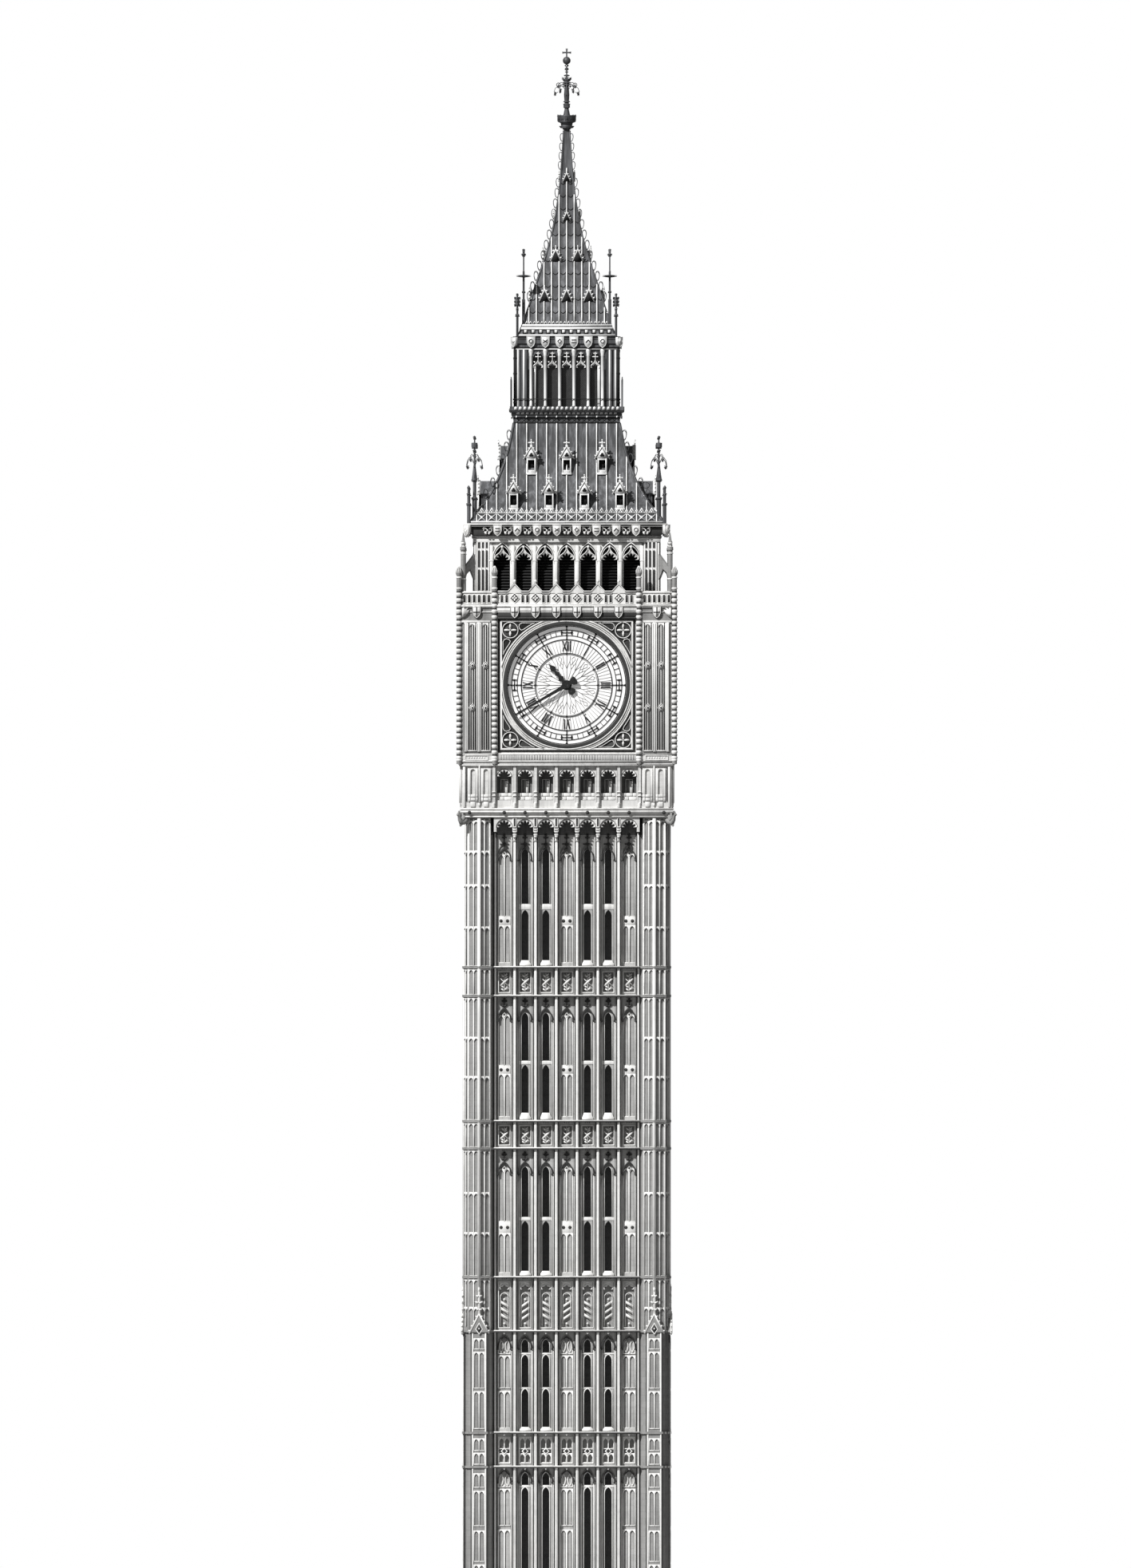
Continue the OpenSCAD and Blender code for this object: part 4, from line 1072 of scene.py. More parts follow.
def beaded_shafts():
    """Beads on the slender shafts at the piers' edges, ribs on their tops, and pendants under them."""
    pitch = bpy.context.scene.tower_sizes.bead_pitch * 1000
    low, high = BASE_Z[0] + 30, PARAPET_Z + 84
    count = int((high - low) / pitch)
    bead = turned_form([(9, 0), (12, 0.12 * pitch), (17.6, 0.42 * pitch), (17.6, 0.58 * pitch), (12, 0.88 * pitch),
                        (9, pitch)], 10)
    x = DIAL_BAY + 11
    places = [(x, -CLOCK_OUT), (-x, -CLOCK_OUT), (CLOCK_OUT, -CLOCK_OUT)]
    forms, dark = [], []
    ring_form = turned_form([(13.0, -4.5), (15.2, -2.5), (15.2, 2.5), (13.0, 4.5)], 10)
    for px, py in places:
        forms.append(bead.copies([(px, py, low + k * pitch) for k in range(count)]))
        dark.append(ring_form.copies([(px, py, low + k * pitch) for k in range(count + 1)]))
        forms.append(turned_form([(1, -26), (8, -20), (12, -8), (16, 0), (16, 6), (11, 10)], 10, (px, py, low)))
        for z in (high + 10, high + 74):
            forms.append(turned_form([(14, 0), (17, 3), (17, 8), (14, 11)], 10, (px, py, z)))
    rib = rod([(13.5, 0), (16.8, 13), (16.4, 25), (10.5, 39), (3, 54)], 1.8, 0, 4)
    crown = joined([rib.turned(k * 45) for k in range(8)])
    top = PARAPET_Z + 169
    forms += [crown.copies([(px, py, top + 8)]) for px, py in places]
    return four_sides(forms, dark)


def clock_pier_panels():
    """Two long recessed panels on each pier's faces, with a lozenge at each of two levels; near-black grounds and
    lines in them paint their shade.
    """
    pale, dark = [], []
    low, high = CLOCK_Z[0] + 14, CLOCK_Z[1] - 26
    out = CLOCK_OUT + 9
    for u in (476, 553):
        dark.append(post(u, 24, low + 4, high - 12, CLOCK_OUT + 1.5, 3))
        pale += posts(u, 27, 3.5, low, high, out, 10)
        pale += posts(u, 13, 1.5, low, high - 14, out - 4, 6)
        pale.append(post(u, 2.5, low, high - 14, out - 2, 7))
        line = arch_line(u, high - 32, 34, 22, 6)
        pale.append(spandrel(line, high, out - 2, 8))
        pale.append(post(u, 27, low - 2, low + 4, out - 1, 9))
        for z in (DIAL_Z - 133, DIAL_Z + 115):
            pale.append(panel(diamond(u, z, 21, 27), out + 1, 10))
            dark.append(moulding(diamond(u, z, 15, 20), 3.5, out + 2, 3, closed=True))
            dark.append(panel(diamond(u, z, 7, 9), out + 2, 2))
    pale += [post(u, 9, low - 4, high + 4, out + 1, 11) for u in (514.5, 592)]
    dark += [post(u, 1.2, low + 4, high - 4, out + 2, 3) for u in (508, 521, 600)]
    pale.append(block(448, 616, high + 2, high + 14, out, 10))
    dark.append(block(448, 616, high - 2, high + 2, out - 3, 7))
    return joined(pale).both().all_round(), joined(dark).both().all_round()


FRAME_U, FRAME_V = 384.0, 375.0


def dial_surround():
    """The square frame, the ring mouldings, and the corners' pierced circles and drop-shaped panels, by finish."""
    pale, dark = [], []
    wall = CLOCK_WALL_OUT
    square = [(-FRAME_U, DIAL_Z - FRAME_V), (FRAME_U, DIAL_Z - FRAME_V), (FRAME_U, DIAL_Z + FRAME_V),
              (-FRAME_U, DIAL_Z + FRAME_V)]
    pale.append(moulding(square, 11, wall + 12, 13, closed=True))
    dark.append(moulding([(u * 1.033, DIAL_Z + (v - DIAL_Z) * 1.033) for u, v in square], 13, wall + 2, 3,
                         closed=True))
    dark.append(moulding(ring(0, DIAL_Z, 361, 96), 21, wall + 14, 5, 0.1, closed=True))
    pale.append(moulding(ring(0, DIAL_Z, 375, 96), 6, wall + 16, 17, closed=True))
    for r, bar, rise in ((386, 5, 10), (398, 7, 14)):
        a0 = math.degrees(math.acos(FRAME_U / r)) if r > FRAME_U else 6.0
        a1 = math.degrees(math.asin(min(1.0, FRAME_V / r)))
        for k in range(4):
            start, end = (a0, a1) if k % 2 == 0 else (180 - a1, 180 - a0)
            turn = 0 if k < 2 else 180
            pale.append(moulding(arc(0, DIAL_Z, r, start + turn, end + turn, 14), bar, wall + rise, rise + 1))
    corner_pale, corner_dark = [], []
    cu, cv = FRAME_U - 53, DIAL_Z + FRAME_V - 53
    inner_u, inner_v = FRAME_U - 5, DIAL_Z + FRAME_V - 5
    a0, a1 = math.degrees(math.acos(inner_u / 403)), math.degrees(math.asin((inner_v - DIAL_Z) / 403))
    ground = np.vstack([[inner_u, inner_v], arc(0, DIAL_Z, 403, a1, a0, 10)])
    corner_dark.append(panel(ground[::-1], wall + 1.2, 2))
    corner_pale.append(moulding(ring(cu, cv, 46, 28), 4.5, wall + 11, 10, closed=True))
    for k in range(4):
        petal = np.array([(-2, 4), (-6.5, 18), (-5, 32), (0, 38), (5, 32), (6.5, 18), (2, 4)])[::-1]
        corner_pale.append(panel(petal + (cu, cv), wall + 9, 8).tilted(90 * k, cu, cv))
    corner_pale.append(moulding(ring(cu, cv, 6, 10), 3, wall + 11, 10, closed=True))
    drop = np.array([(188, 364), (262, 364), (275, 357), (280, 344), (276, 330), (266, 321), (250, 328), (230, 342),
                     (210, 354)])
    for shape in (drop, drop[::-1, ::-1] + (9, -9)):
        corner_pale.append(moulding(shape + (0, DIAL_Z), 3.6, wall + 9, 8, closed=True))
    corner_pale, corner_dark = joined(corner_pale), joined(corner_dark)
    for form, kept in ((corner_pale, pale), (corner_dark, dark)):
        pair = form.both()
        mirror = Form(pair.points * (1, 1, -1) + (0, 0, 2 * DIAL_Z), pair.corners, pair.counts)
        kept += [pair, mirror]
    return four_sides(pale, dark)


def stroke(points, width, out, depth):
    """One stroke of a numeral or a bar of the dial's iron."""
    return moulding(points, width, out, depth, edge=0.12)


def numeral(marks, tall, out, depth):
    """An hour's sign made of upright, crossed and slanting strokes, drawn about the origin with its foot down."""
    wide = {"i": 13.0, "v": 28.0, "x": 28.0}
    total = sum(wide[m] for m in marks)
    forms, u = [], -total / 2
    for m in marks:
        w = wide[m]
        c, half = u + w / 2, tall / 2
        if m == "i":
            forms.append(stroke([(c, -half), (c, half)], 8.0, out, depth))
        elif m == "v":
            forms += [stroke([(c - w / 2 + 4, half), (c + 1, -half)], 8.0, out, depth),
                      stroke([(c + w / 2 - 4, half), (c - 1, -half)], 5.0, out, depth)]
        else:
            forms += [stroke([(c - w / 2 + 4, half), (c + w / 2 - 4, -half)], 8.0, out, depth),
                      stroke([(c - w / 2 + 4, -half), (c + w / 2 - 4, half)], 5.0, out, depth)]
        u += w
    for v in (-tall / 2, tall / 2):
        forms += [panel([(x - 4.5, v), (x, v - 3.5), (x + 4.5, v), (x, v + 3.5)], out + 0.2, depth)
                  for x in np.linspace(-total / 2 + 5, total / 2 - 5, max(1, len(marks)))]
    return joined(forms)


# Rings of the dials' iron: radius and width.
DIAL_RINGS = ((346.5, 5), (322.5, 5), (291, 4), (266.5, 6), (187, 4.5), (180, 1.8))
HOUR_MARKS = ("xii", "i", "ii", "iii", "iv", "v", "vi", "vii", "viii", "ix", "x", "xi")


def at_hour(form, hour):
    """A form drawn about the origin with 12 o'clock up, moved to an hour of the dial."""
    return form.tilted(30.0 * hour).copies([(0, 0, DIAL_Z)])


def cross_mark(out, depth):
    """The five-minute mark: a cross with a diamond at each end of its long arm and buds on its short one."""
    r = 307.0
    forms = [stroke([(0, r - 40), (0, r + 36)], 6.5, out, depth), stroke([(-30, r), (30, r)], 6.5, out, depth)]
    for v in (r - 40, r - 16, r + 16, r + 35):
        forms.append(panel(diamond(0, v, 8, 8), out, depth))
    for s in (-1, 1):
        forms.append(panel([(s * 37, r), (s * 29, r + 8), (s * 21, r), (s * 29, r - 8)], out, depth))
        forms += [panel(ring(s * 30, r + v, 4.5, 8), out, depth) for v in (-8, 8)]
    return joined(forms)


def dial_iron():
    """Hour signs, five-minute crosses, minute bars, knobs on the inner ring, and the panes' fine bars."""
    out, depth = CLOCK_WALL_OUT - 11.2, 4.6
    black, fine = [], []
    for r, bar in DIAL_RINGS:
        black.append(moulding(ring(0, DIAL_Z, r, 96), bar, out - 0.8, 3.8, 0.1, closed=True))
    black.append(moulding(ring(0, DIAL_Z, 24, 32), 12, out - 0.8, 3.8, 0.1, closed=True))
    for k in range(12):
        black.append(stroke([(0, 29), (0, 345)], 1.5, out - 1.2, 3.2).tilted(30 * k).copies([(0, 0, DIAL_Z)]))
    for hour, marks in enumerate(HOUR_MARKS):
        black.append(at_hour(numeral(marks, 55, out, depth).copies([(0, 0, 228.5)]), hour))
        black.append(at_hour(cross_mark(out, depth), hour))
        black.append(at_hour(panel(diamond(0, 184, 6, 12), out, depth), hour))
        for k in (1, 2, 3, 4):
            black.append(at_hour(stroke([(0, 292), (0, 322)], 3.0, out, depth), hour + k / 5))
        for k in (0.2, 0.34, 0.5, 0.66, 0.8):
            fine.append(at_hour(stroke([(0, 190), (0, 262)], 1.8, out - 2.6, 2), hour + k))
    inner = []
    for k in range(24):
        a = 15 * k
        inner.append(stroke([(0, 36), (0, 96 if k % 2 else 112)], 2.0, out - 2.6, 2).tilted(a))
        for s in (-1, 1):
            line = [polar(0, 0, r, 90 - a - s * b) for r, b in ((96, 0), (118, 4.2), (142, 7.5), (172, 7.5))]
            inner.append(stroke(line, 2.0, out - 2.6, 2))
            line = [polar(0, 0, r, 90 - a - s * b) for r, b in ((118, 4.2), (134, 0), (158, 4), (172, 0))]
            if k % 2:
                inner.append(stroke(line, 2.0, out - 2.6, 2))
    fine.append(joined(inner).copies([(0, 0, DIAL_Z)]))
    return four_sides(black, fine)


# ---------------------------------------------------------------- parapet and belfry

def shield(u, top, width, tall, out, depth, rim=3.0):
    """A plain shield with a raised rim."""
    half = width / 2
    line = np.vstack([[u - half, top], [u + half, top], [u + half, top - 0.52 * tall],
                      [u + 0.72 * half, top - 0.78 * tall],
                      [u, top - tall], [u - 0.72 * half, top - 0.78 * tall], [u - half, top - 0.52 * tall]])
    return joined([panel(line, out, depth), moulding(line, rim, out + 2, 4, closed=True)])


def charge(u, top, width, tall, out, kind):
    """A plain device for a shield: bars, a chevron, a ring, a saltire or a lozenge."""
    v, half = top - 0.42 * tall, width * 0.3
    if kind == 0:
        return joined([post(u, half, v + s * 8 - 2.5, v + s * 8 + 2.5, out, 3) for s in (-1, 1)])
    if kind == 1:
        return moulding([(u + half, v - 8), (u, v + 8), (u - half, v - 8)], 5, out, 3)
    if kind == 2:
        return moulding(ring(u, v, half * 0.8, 12), 4, out, 3, closed=True)
    if kind == 3:
        return joined([moulding([(u - half, v - 9 * s), (u + half, v + 9 * s)], 4, out, 3) for s in (-1, 1)])
    return moulding([(u, v + 13), (u + half * 0.8, v), (u, v - 13), (u - half * 0.8, v)], 4, out, 3, closed=True)


def frieze_work():
    """Bands, quartered shields, and winged beasts at the corners, by finish."""
    pale, dark = [], []
    low, high = FRIEZE_Z
    out = CLOCK_OUT + 6
    pale.append(block(-BAY * 3.5 + 12, BAY * 3.5 - 12, low + 44, low + 62, out, 8))
    pale.append(roll(CLOCK_OUT, high - 4, 4.5, out))
    pale.append(roll(CLOCK_OUT, low + 38, 2.5, CLOCK_OUT + 2))
    dark.append(block(-BAY * 3.5 + 12, BAY * 3.5 - 12, low - 2, low + 6, out, 8))
    dark.append(block(-BAY * 3.5 + 12, BAY * 3.5 - 12, low + 10, low + 36, CLOCK_OUT + 1.2, 2))
    shields = RIBS + [-528, 528]
    for u in shields:
        pale.append(shield(u, high - 8, 44, 66, out + 7, 12))
        dark.append(post(u, 3.2, low + 8, high - 10, out + 9.5, 4))
        dark.append(post(u, 20, low + 34, low + 40, out + 9.5, 4))
        dark.append(moulding([(u - 25, high - 6), (u - 25, low + 34), (u - 17, low + 18), (u, low + 2),
                              (u + 17, low + 18),
                              (u + 25, low + 34), (u + 25, high - 6)], 4, out + 4, 8))
    wing = [(-4, -34), (10, -30), (34, -6), (44, 18), (24, 12), (36, 30), (12, 22), (8, 34), (-4, 26)]
    pale.append(panel(np.array(wing) * (-0.9, 0.9) + (CLOCK_OUT - 22, low + 36), out + 5, 10).both())
    head = turned_form([(3, 0), (10, 8), (12, 20), (8, 30), (10, 36), (7, 46), (1, 50)], 8)
    pale.append(head.copies([(CLOCK_OUT + 3, -CLOCK_OUT - 3, low + 20)]))
    return four_sides(pale, dark)


def parapet_work():
    """The zigzag coping with balls, quatrefoil lozenges and arched slots, by finish."""
    pale, dark = [], []
    low, face = PARAPET_Z, CLOCK_OUT - 8
    high, rise, reach = low + 84, 44, 40
    path = [(BAY * 3.5 - 10, high)]
    for u in RIBS[::-1]:
        path += [(u + reach, high), (u, high + rise), (u - reach, high)]
    path.append((-BAY * 3.5 + 10, high))
    for shift, bar, rise_out in ((-1, 7, 9), (-13, 4, 5)):
        pale.append(moulding([(u, v + shift) for u, v in path], bar, face + rise_out, rise_out + 8))
    for shift, bar in ((-7.5, 5), (-18, 3.4)):
        dark.append(moulding([(u, v + shift) for u, v in path], bar, face + 3, 4))
    dark.append(moulding([(u, v + 3.4) for u, v in path], 1.6, face + 9.5, 4))
    for u in RIBS:
        pale.append(turned_form([(2, -14), (4, -4), (3, 0), (8, 5), (9, 11), (6, 17), (1, 20)], 8,
                                (u, 6 - face, high + rise + 4)))
        v = low + 42
        pale.append(moulding(diamond(u, v, 27, 29), 3.4, face + 5, 6, closed=True))
        # Painted shade: near-black grounds in the lozenges and the arched slots.
        dark.append(panel(diamond(u, v, 25, 27), face + 1.8, 3))
        for k in range(4):
            petal = np.array([(-2.5, 2), (-6, 9), (-4, 15), (0, 17), (4, 15), (6, 9), (2.5, 2)])[::-1]
            pale.append(panel(petal + (u, v), face + 4, 4).tilted(90 * k, u, v))
        dark.append(panel(ring(u, v, 2.5, 8), face + 4.6, 1))
    for b in BAYS:
        for s in (-1, 1):
            u = b + s * 14
            if abs(u) < BAY * 3.5 - 22:
                line = arc(u, low + 54, 8.5, 0, 180, 6)
                slot_line = np.vstack([[u - 8.5, low + 16], [u + 8.5, low + 16], line])
                dark.append(panel(slot_line, face + 1.4, 3))
                pale.append(moulding(slot_line, 2.6, face + 3.6, 4, closed=True))
    for k in range(6):
        u = 456 + 28.7 * k
        line = arc(u, low + 54, 9, 0, 180, 6)
        slot_line = np.vstack([[u - 9, low + 16], [u + 9, low + 16], line])
        dark.append(panel(slot_line, face + 1.4, 3).both())
        pale.append(moulding(slot_line, 2.6, face + 4, 5, closed=True).both())
    pale.append(block(440, 618, high - 12, high - 4, face + 6, 8).both())
    pale.append(block(440, 618, low + 2, low + 10, face + 6, 8).both())
    pale.append(block(-BAY * 3.5 + 12, BAY * 3.5 - 12, low, low + 11, face + 7, 9))
    return four_sides(pale, dark)


def ogee_line(x, z, w, rise, n=10):
    """A keel-shaped arch: u = w/2 (1 - s), v = rise (0.55 sqrt(1 - (1 - s)^2) + 0.45 s^4)."""
    s = np.linspace(0, 1, n + 1)
    v = rise * (0.55 * np.sqrt(1 - (1 - s) ** 2) + 0.45 * s ** 4)
    right = np.stack([x + w / 2 * (1 - s), z + v], -1)
    return np.vstack([right, right[::-1][1:] * (-1, 1) + (2 * x, 0)])


def belfry_work():
    """Arches, keel-shaped cusped heads, pier panels, mullion shafts, and the band over them, by finish."""
    pale, dark = [], []
    out = BELFRY_OUT
    spring = BELFRY_Z[0] + 283
    for u in [(i - 3) * BELL_BAY for i in range(7)]:
        arch = arch_line(u, spring - 8, 112, 92, 8)
        pale.append(moulding(np.vstack([[u + 56, spring - 40], arch, [u - 56, spring - 40]]), 7, out + 4, 12))
        inner = arch_line(u, spring - 8, 96, 76, 8)
        pale.append(moulding(inner, 4, out + 1, 10))
        keel = ogee_line(u, spring - 14, 94, 68, 10)
        pale.append(web(keel, foils(u, spring - 16, 40, 5, 0.42, 20), out - 3, 10))
        pale.append(moulding(keel, 5, out + 3, 10))
        pale.append(leaf(u, spring + 50, 22, 16, 0, out + 4, 8))
    for k in range(8):
        u = (k - 3.5) * BELL_BAY
        pale.append(post(u, 9, BELFRY_Z[0], spring + 70, out + 6, 12))
        if 0 < k < 7:
            pale += [post(u + s * 14, 3, BELFRY_Z[0], spring + 6, out - 6, 14) for s in (-1, 1)]
        pale.append(post(u, 12, spring - 24, spring - 17, out + 8, 14))
        # Painted shadow: a near-black strip just right of each post.
        dark.append(block(u + 10, u + 13.5, BELFRY_Z[0] + 4, spring + 40, out + 1, 6))
    top = BELFRY_Z[1]
    pale.append(block(-out - 3, out + 3, top - 30, top - 3, out + 5, 8))
    pale.append(roll(out + 6, top - 2, 4, out + 5))
    pier = [block(out - 12, out + 3, BELFRY_Z[0], top - 30, out + 3, 5)]
    # Painted shade: near-black grounds on the piers' panels.
    dark += [post(u, 7, BELFRY_Z[0] + 90, top - 34, out + 1.2, 3).both() for u in (out - 77, out - 55, out - 32)]
    dark.append(block(-out, out, top - 34, top - 30, out + 3, 5))
    pier += [post(u, 4, BELFRY_Z[0], top - 30, out + 6, 7) for u in (out - 88, out - 66, out - 44, out - 20)]
    for u in (out - 77, out - 55, out - 32):
        for v in (BELFRY_Z[0] + 216, BELFRY_Z[0] + 328):
            pier.append(post(u, 9, v, v + 6, out + 4, 5))
            pier.append(spandrel(arch_line(u, v - 17, 15, 13, 4), v, out + 3, 4))
    pale.append(joined(pier).both())
    return four_sides(pale, dark)


def louvre_slats():
    """Slanted boards across each opening of the belfry: every slat drops outwards by its own thickness."""
    back = BELFRY_OUT - 62
    forms = []
    for z in np.arange(BELFRY_Z[0] + 10, BELFRY_Z[1] - 60, 17.0):
        rows = [front([-438, 438, 438, -438], [z, z, z + 3, z + 3], [back + 12] * 4),
                front([-438, 438, 438, -438], [z + 13, z + 13, z + 16, z + 16], [back - 1] * 4)]
        forms.append(tube(rows))
    return joined(forms).all_round()


def pinnacle_work():
    """Collars and small gables on the pinnacles beside the belfry."""
    c = span("belfry_pinnacles", 0)[1] - 18
    low = BELFRY_Z[0]
    forms = []
    for z, r in ((low + 2, 17), (low + 150, 16.5), (low + 300, 17), (low + 322, 16), (low + 360, 13)):
        forms.append(turned_form([(12, 0), (r, 3), (r, 8), (12, 11)], 10, (c, -c, z)))
    for k in range(4):
        gable = panel([(-9, 0), (9, 0), (0, 26)], 14, 6).copies([(0, 0, low + 330)])
        forms.append(gable.turned(90 * k).copies([(c, -c, 0)]))
    return joined(forms).all_round()


def belfry_cornice_work():
    """Eight shields a side with plain devices, scrolling leaves between them, and corner shields, by finish."""
    pale, dark = [], []
    low, high = BELL_CORNICE_Z
    out = span("belfry_cornice", 0)[1]
    pitch = 116.0
    places = [(i - 3.5) * pitch for i in range(8)]
    for z, face, r in ((high - 4, out + 1, 4.5), (low + 5, BELFRY_OUT + 9, 4)):
        pale.append(roll(face, z, r, face))
        dark.append(roll(face, z - 6, 2, face + 1))
    for k, u in enumerate(places):
        pale.append(shield(u, high - 10, 46, 63, out + 10, 24))
        dark.append(charge(u, high - 10, 46, 63, out + 13, k % 5))
    dark.append(block(-out + 30, out - 30, low + 12, high - 12, out - 16, 6))
    for u in [p + pitch / 2 for p in places[:-1]] + [-places[-1] - pitch / 2, places[-1] + pitch / 2]:
        for s in (-1, 1):
            curl = polar(u + s * 13, (low + high) / 2, 11, np.linspace(200, 200 + 270 * s, 9))
            pale.append(moulding(curl, 3.6, out - 6, 10))
            pale.append(leaf(u + s * 6, low + 16, 24, 15, s * 30, out - 6, 8))
            pale.append(leaf(u + s * 18, high - 16, 22, 13, s * 160, out - 6, 8))
        pale.append(stud(u, (low + high) / 2, 5, out - 2, 6))
    corner = joined([shield(0, high - 8, 40, 66, 14, 20), charge(0, high - 8, 40, 66, 17, 4)])
    place = (out - 6, -(out - 6), 0)
    pale.append(corner.turned(45).copies([place]))
    return four_sides(pale, dark)


# ---------------------------------------------------------------- roofs, lantern and spire

def on_slope(form, half):
    """Lays a form made at out = 0 on a flared roof: each point moves out by the roof's half width at its height."""
    points = form.points.copy()
    points[:, 1] -= half(points[:, 2])
    return Form(points, form.corners, form.counts)


def batten(u, low, high, width, rise, half, steps=10):
    """An upright roll on a roof's slope."""
    z = np.linspace(low, high, steps + 1)
    w = width / 2
    rows = [front([u - w, u - w, u, u + w, u + w], v, [-3, rise * 0.6, rise, rise * 0.6, -3]) for v in z]
    return on_slope(tube(rows), half)


def square_band(low, high, lift, half):
    """A band round all four sides of a roof."""
    rows = []
    for z, more in ((low, -4), (low, lift), (high, lift), (high, -4)):
        h = float(half(z)) + more
        rows.append(np.array([(-h, -h, z), (h, -h, z), (h, h, z), (-h, h, z)]))
    return sheet_of(np.stack(rows), rows_closed=True, columns_closed=True)


def hip_height(u, zone, half):
    """How high up a roof's face still reaches as far out as u."""
    z = np.linspace(zone[0], zone[1], 400)
    inside = z[half(z) >= abs(u) + 2]
    return float(inside[-1]) if len(inside) else zone[0]


def hip_roll(zone, half, radius, steps=16):
    """The roll on a roof's corner, with a rounded outer side."""
    z = np.linspace(zone[0], zone[1], steps + 1)
    rows = []
    for v in z:
        h = float(half(v))
        ringed = [(h + radius * math.cos(t) * 0.9, -h + radius * math.sin(t) * 0.9, v) for t in
                  np.radians([135, 180, 225, 270, 315, 0, 45, 90])]
        rows.append(ringed)
    return tube(rows)


def loop(width, tall, bar):
    """A leaf-shaped loop of thin bar that stands up and leans outwards from (0, 0)."""
    a = np.linspace(0, 2 * math.pi, 14, endpoint=False)
    u = width / 2 * (1 + 0.25 * np.sin(a)) * np.cos(a) + width * 0.55
    v = tall / 2 * np.sin(a) + tall * 0.45
    return moulding(np.stack([u, v], -1), bar, bar / 2, bar, closed=True)


def hip_loops(zone, half, pitch, width, tall, bar=3.0):
    """Loops along a roof's four hips."""
    forms = []
    made = loop(width, tall, bar).turned(-45)
    for z in np.arange(zone[0], zone[1], pitch):
        h = float(half(z)) - 3
        forms.append(made.copies([(h, -h, z)]))
    return joined(forms).all_round()


def lower_roof_work():
    """Battens, hip rolls, the cresting over the eaves, and bands, by finish, with a near-black strip to the right of
    each batten as its painted shadow.
    """
    pale, dark = [], []
    low, high = ROOF_Z
    pitch = 58.6
    for k in range(-9, 10):
        u = k * pitch
        top = hip_height(u, ROOF_Z, lower_half)
        if top - low > 60:
            pale.append(batten(u, low + 4, min(top, high - 2), 7, 8, lower_half))
            # Painted shadow: a thin near-black batten just right of the pale one.
            dark.append(batten(u + 6.5, low + 8, min(top, high - 2), 4, 3, lower_half))
    for z, bar in ((low + 10, 8), (low + 62, 4)):
        reach = float(lower_half(z)) - 6
        pale.append(on_slope(moulding([(-reach, z), (reach, z)], bar, 12, 16), lower_half))
    for k in range(-9, 9):
        u0, u1 = k * pitch + 6, (k + 1) * pitch - 6
        mid = (u0 + u1) / 2
        if max(abs(u0), abs(u1)) < lower_half(low + 70):
            for a, b in (((u0, low + 16), (u1, low + 56)), ((u0, low + 56), (u1, low + 16))):
                pale.append(on_slope(moulding([a, b], 4, 9, 8), lower_half))
            pale.append(on_slope(panel([(mid - 9, low + 36), (mid, low + 27), (mid + 9, low + 36), (mid, low + 45)],
                                       11, 8),
                                  lower_half))
            pale.append(on_slope(moulding([(mid + 15, low + 64), (mid, low + 90), (mid - 15, low + 64)], 5, 12, 12),
                                 lower_half))
            pale.append(on_slope(panel([(mid - 7, low + 66), (mid + 7, low + 66), (mid, low + 78)], 10, 8),
                                 lower_half))
            pale.append(on_slope(moulding([(u0 + 6, low + 64), (u0 - 6, low + 84), (u0 - 18, low + 64)], 4, 12, 12),
                                  lower_half))
    return joined(pale).all_round(), joined(dark).all_round(), hip_roll(ROOF_Z, lower_half, 8).all_round()


def dormer_trim():
    """Frames, coped gables with side knobs, trefoils, sills and cross finials of the roof windows, by finish."""
    pale, dark = [], []
    rows = ((88, (-1.5, -0.5, 0.5, 1.5)), (295, (-1, 0, 1)))
    for lift, spots in rows:
        z = ROOF_Z[0] + lift
        out = float(lower_half(z)) + 10
        for k in spots:
            u = k * 208
            pale += posts(u, 23, 4, z - 6, z + 92, out + 1, 18)
            pale.append(post(u, 29, z - 8, z + 4, out + 4, 20))
            pale.append(post(u, 19, z + 4, z + 20, out - 2, 14))
            pale.append(post(u, 22, z + 78, z + 88, out, 12))
            pale.append(panel([(u - 37, z + 90), (u + 37, z + 90), (u, z + 155)], out + 2.5, 6))
            pale.append(moulding([(u + 45, z + 84), (u, z + 162), (u - 45, z + 84)], 7, out + 7, 20))
            dark.append(moulding([(u + 34, z + 93), (u, z + 148), (u - 34, z + 93)], 3, out + 3.4, 3))
            dark.append(panel(foil(u, z + 108, 14, 3, 0.45, 18, 90), out + 3.6, 3))
            for s in (-1, 1):
                for f in (0.2, 0.5, 0.8):
                    pale.append(leaf(u + s * 44 * (1 - f), z + 86 + 72 * f, 14, 11, s * 50, out + 4, 8))
            pale += [post(u, 3, z + 156, z + 196, out + 4, 6), post(u, 15, z + 177, z + 184, out + 5, 6),
                     post(u, 8, z + 162, z + 167, out + 5, 6)]
            pale += [stud(u + s * 15, z + 180, 4.5, out + 6, 6) for s in (-1, 1)] + [stud(u, z + 197, 5, out + 6, 6)]
            # Painted shade: a near-black sheet inside each roof window's opening.
            dark.append(panel([(u - 18.3, z + 19), (u + 18.3, z + 19), (u + 18.3, z + 80), (u - 18.3, z + 80)],
                              out - 23, 4))
    return four_sides(pale, dark)


def scroll_arm(reach, drop, bar):
    """A curling arm that rises from (0, 0), turns out and hangs a flower."""
    line = np.array([(0, 0), (0.10, 0.5), (0.35, 0.95), (0.65, 1.0), (0.9, 0.7), (1.0, 0.25), (0.86, 0.0),
                     (0.7, 0.2)])
    line = line * (reach, drop)
    return joined([moulding(line, bar, bar / 2, bar), stud(reach * 0.92, drop * 0.1, bar * 1.9, bar, 8)])


def four_arms(arm, place):
    """An arm repeated round a mast."""
    return joined([arm.turned(90 * k).copies([place]) for k in range(4)])


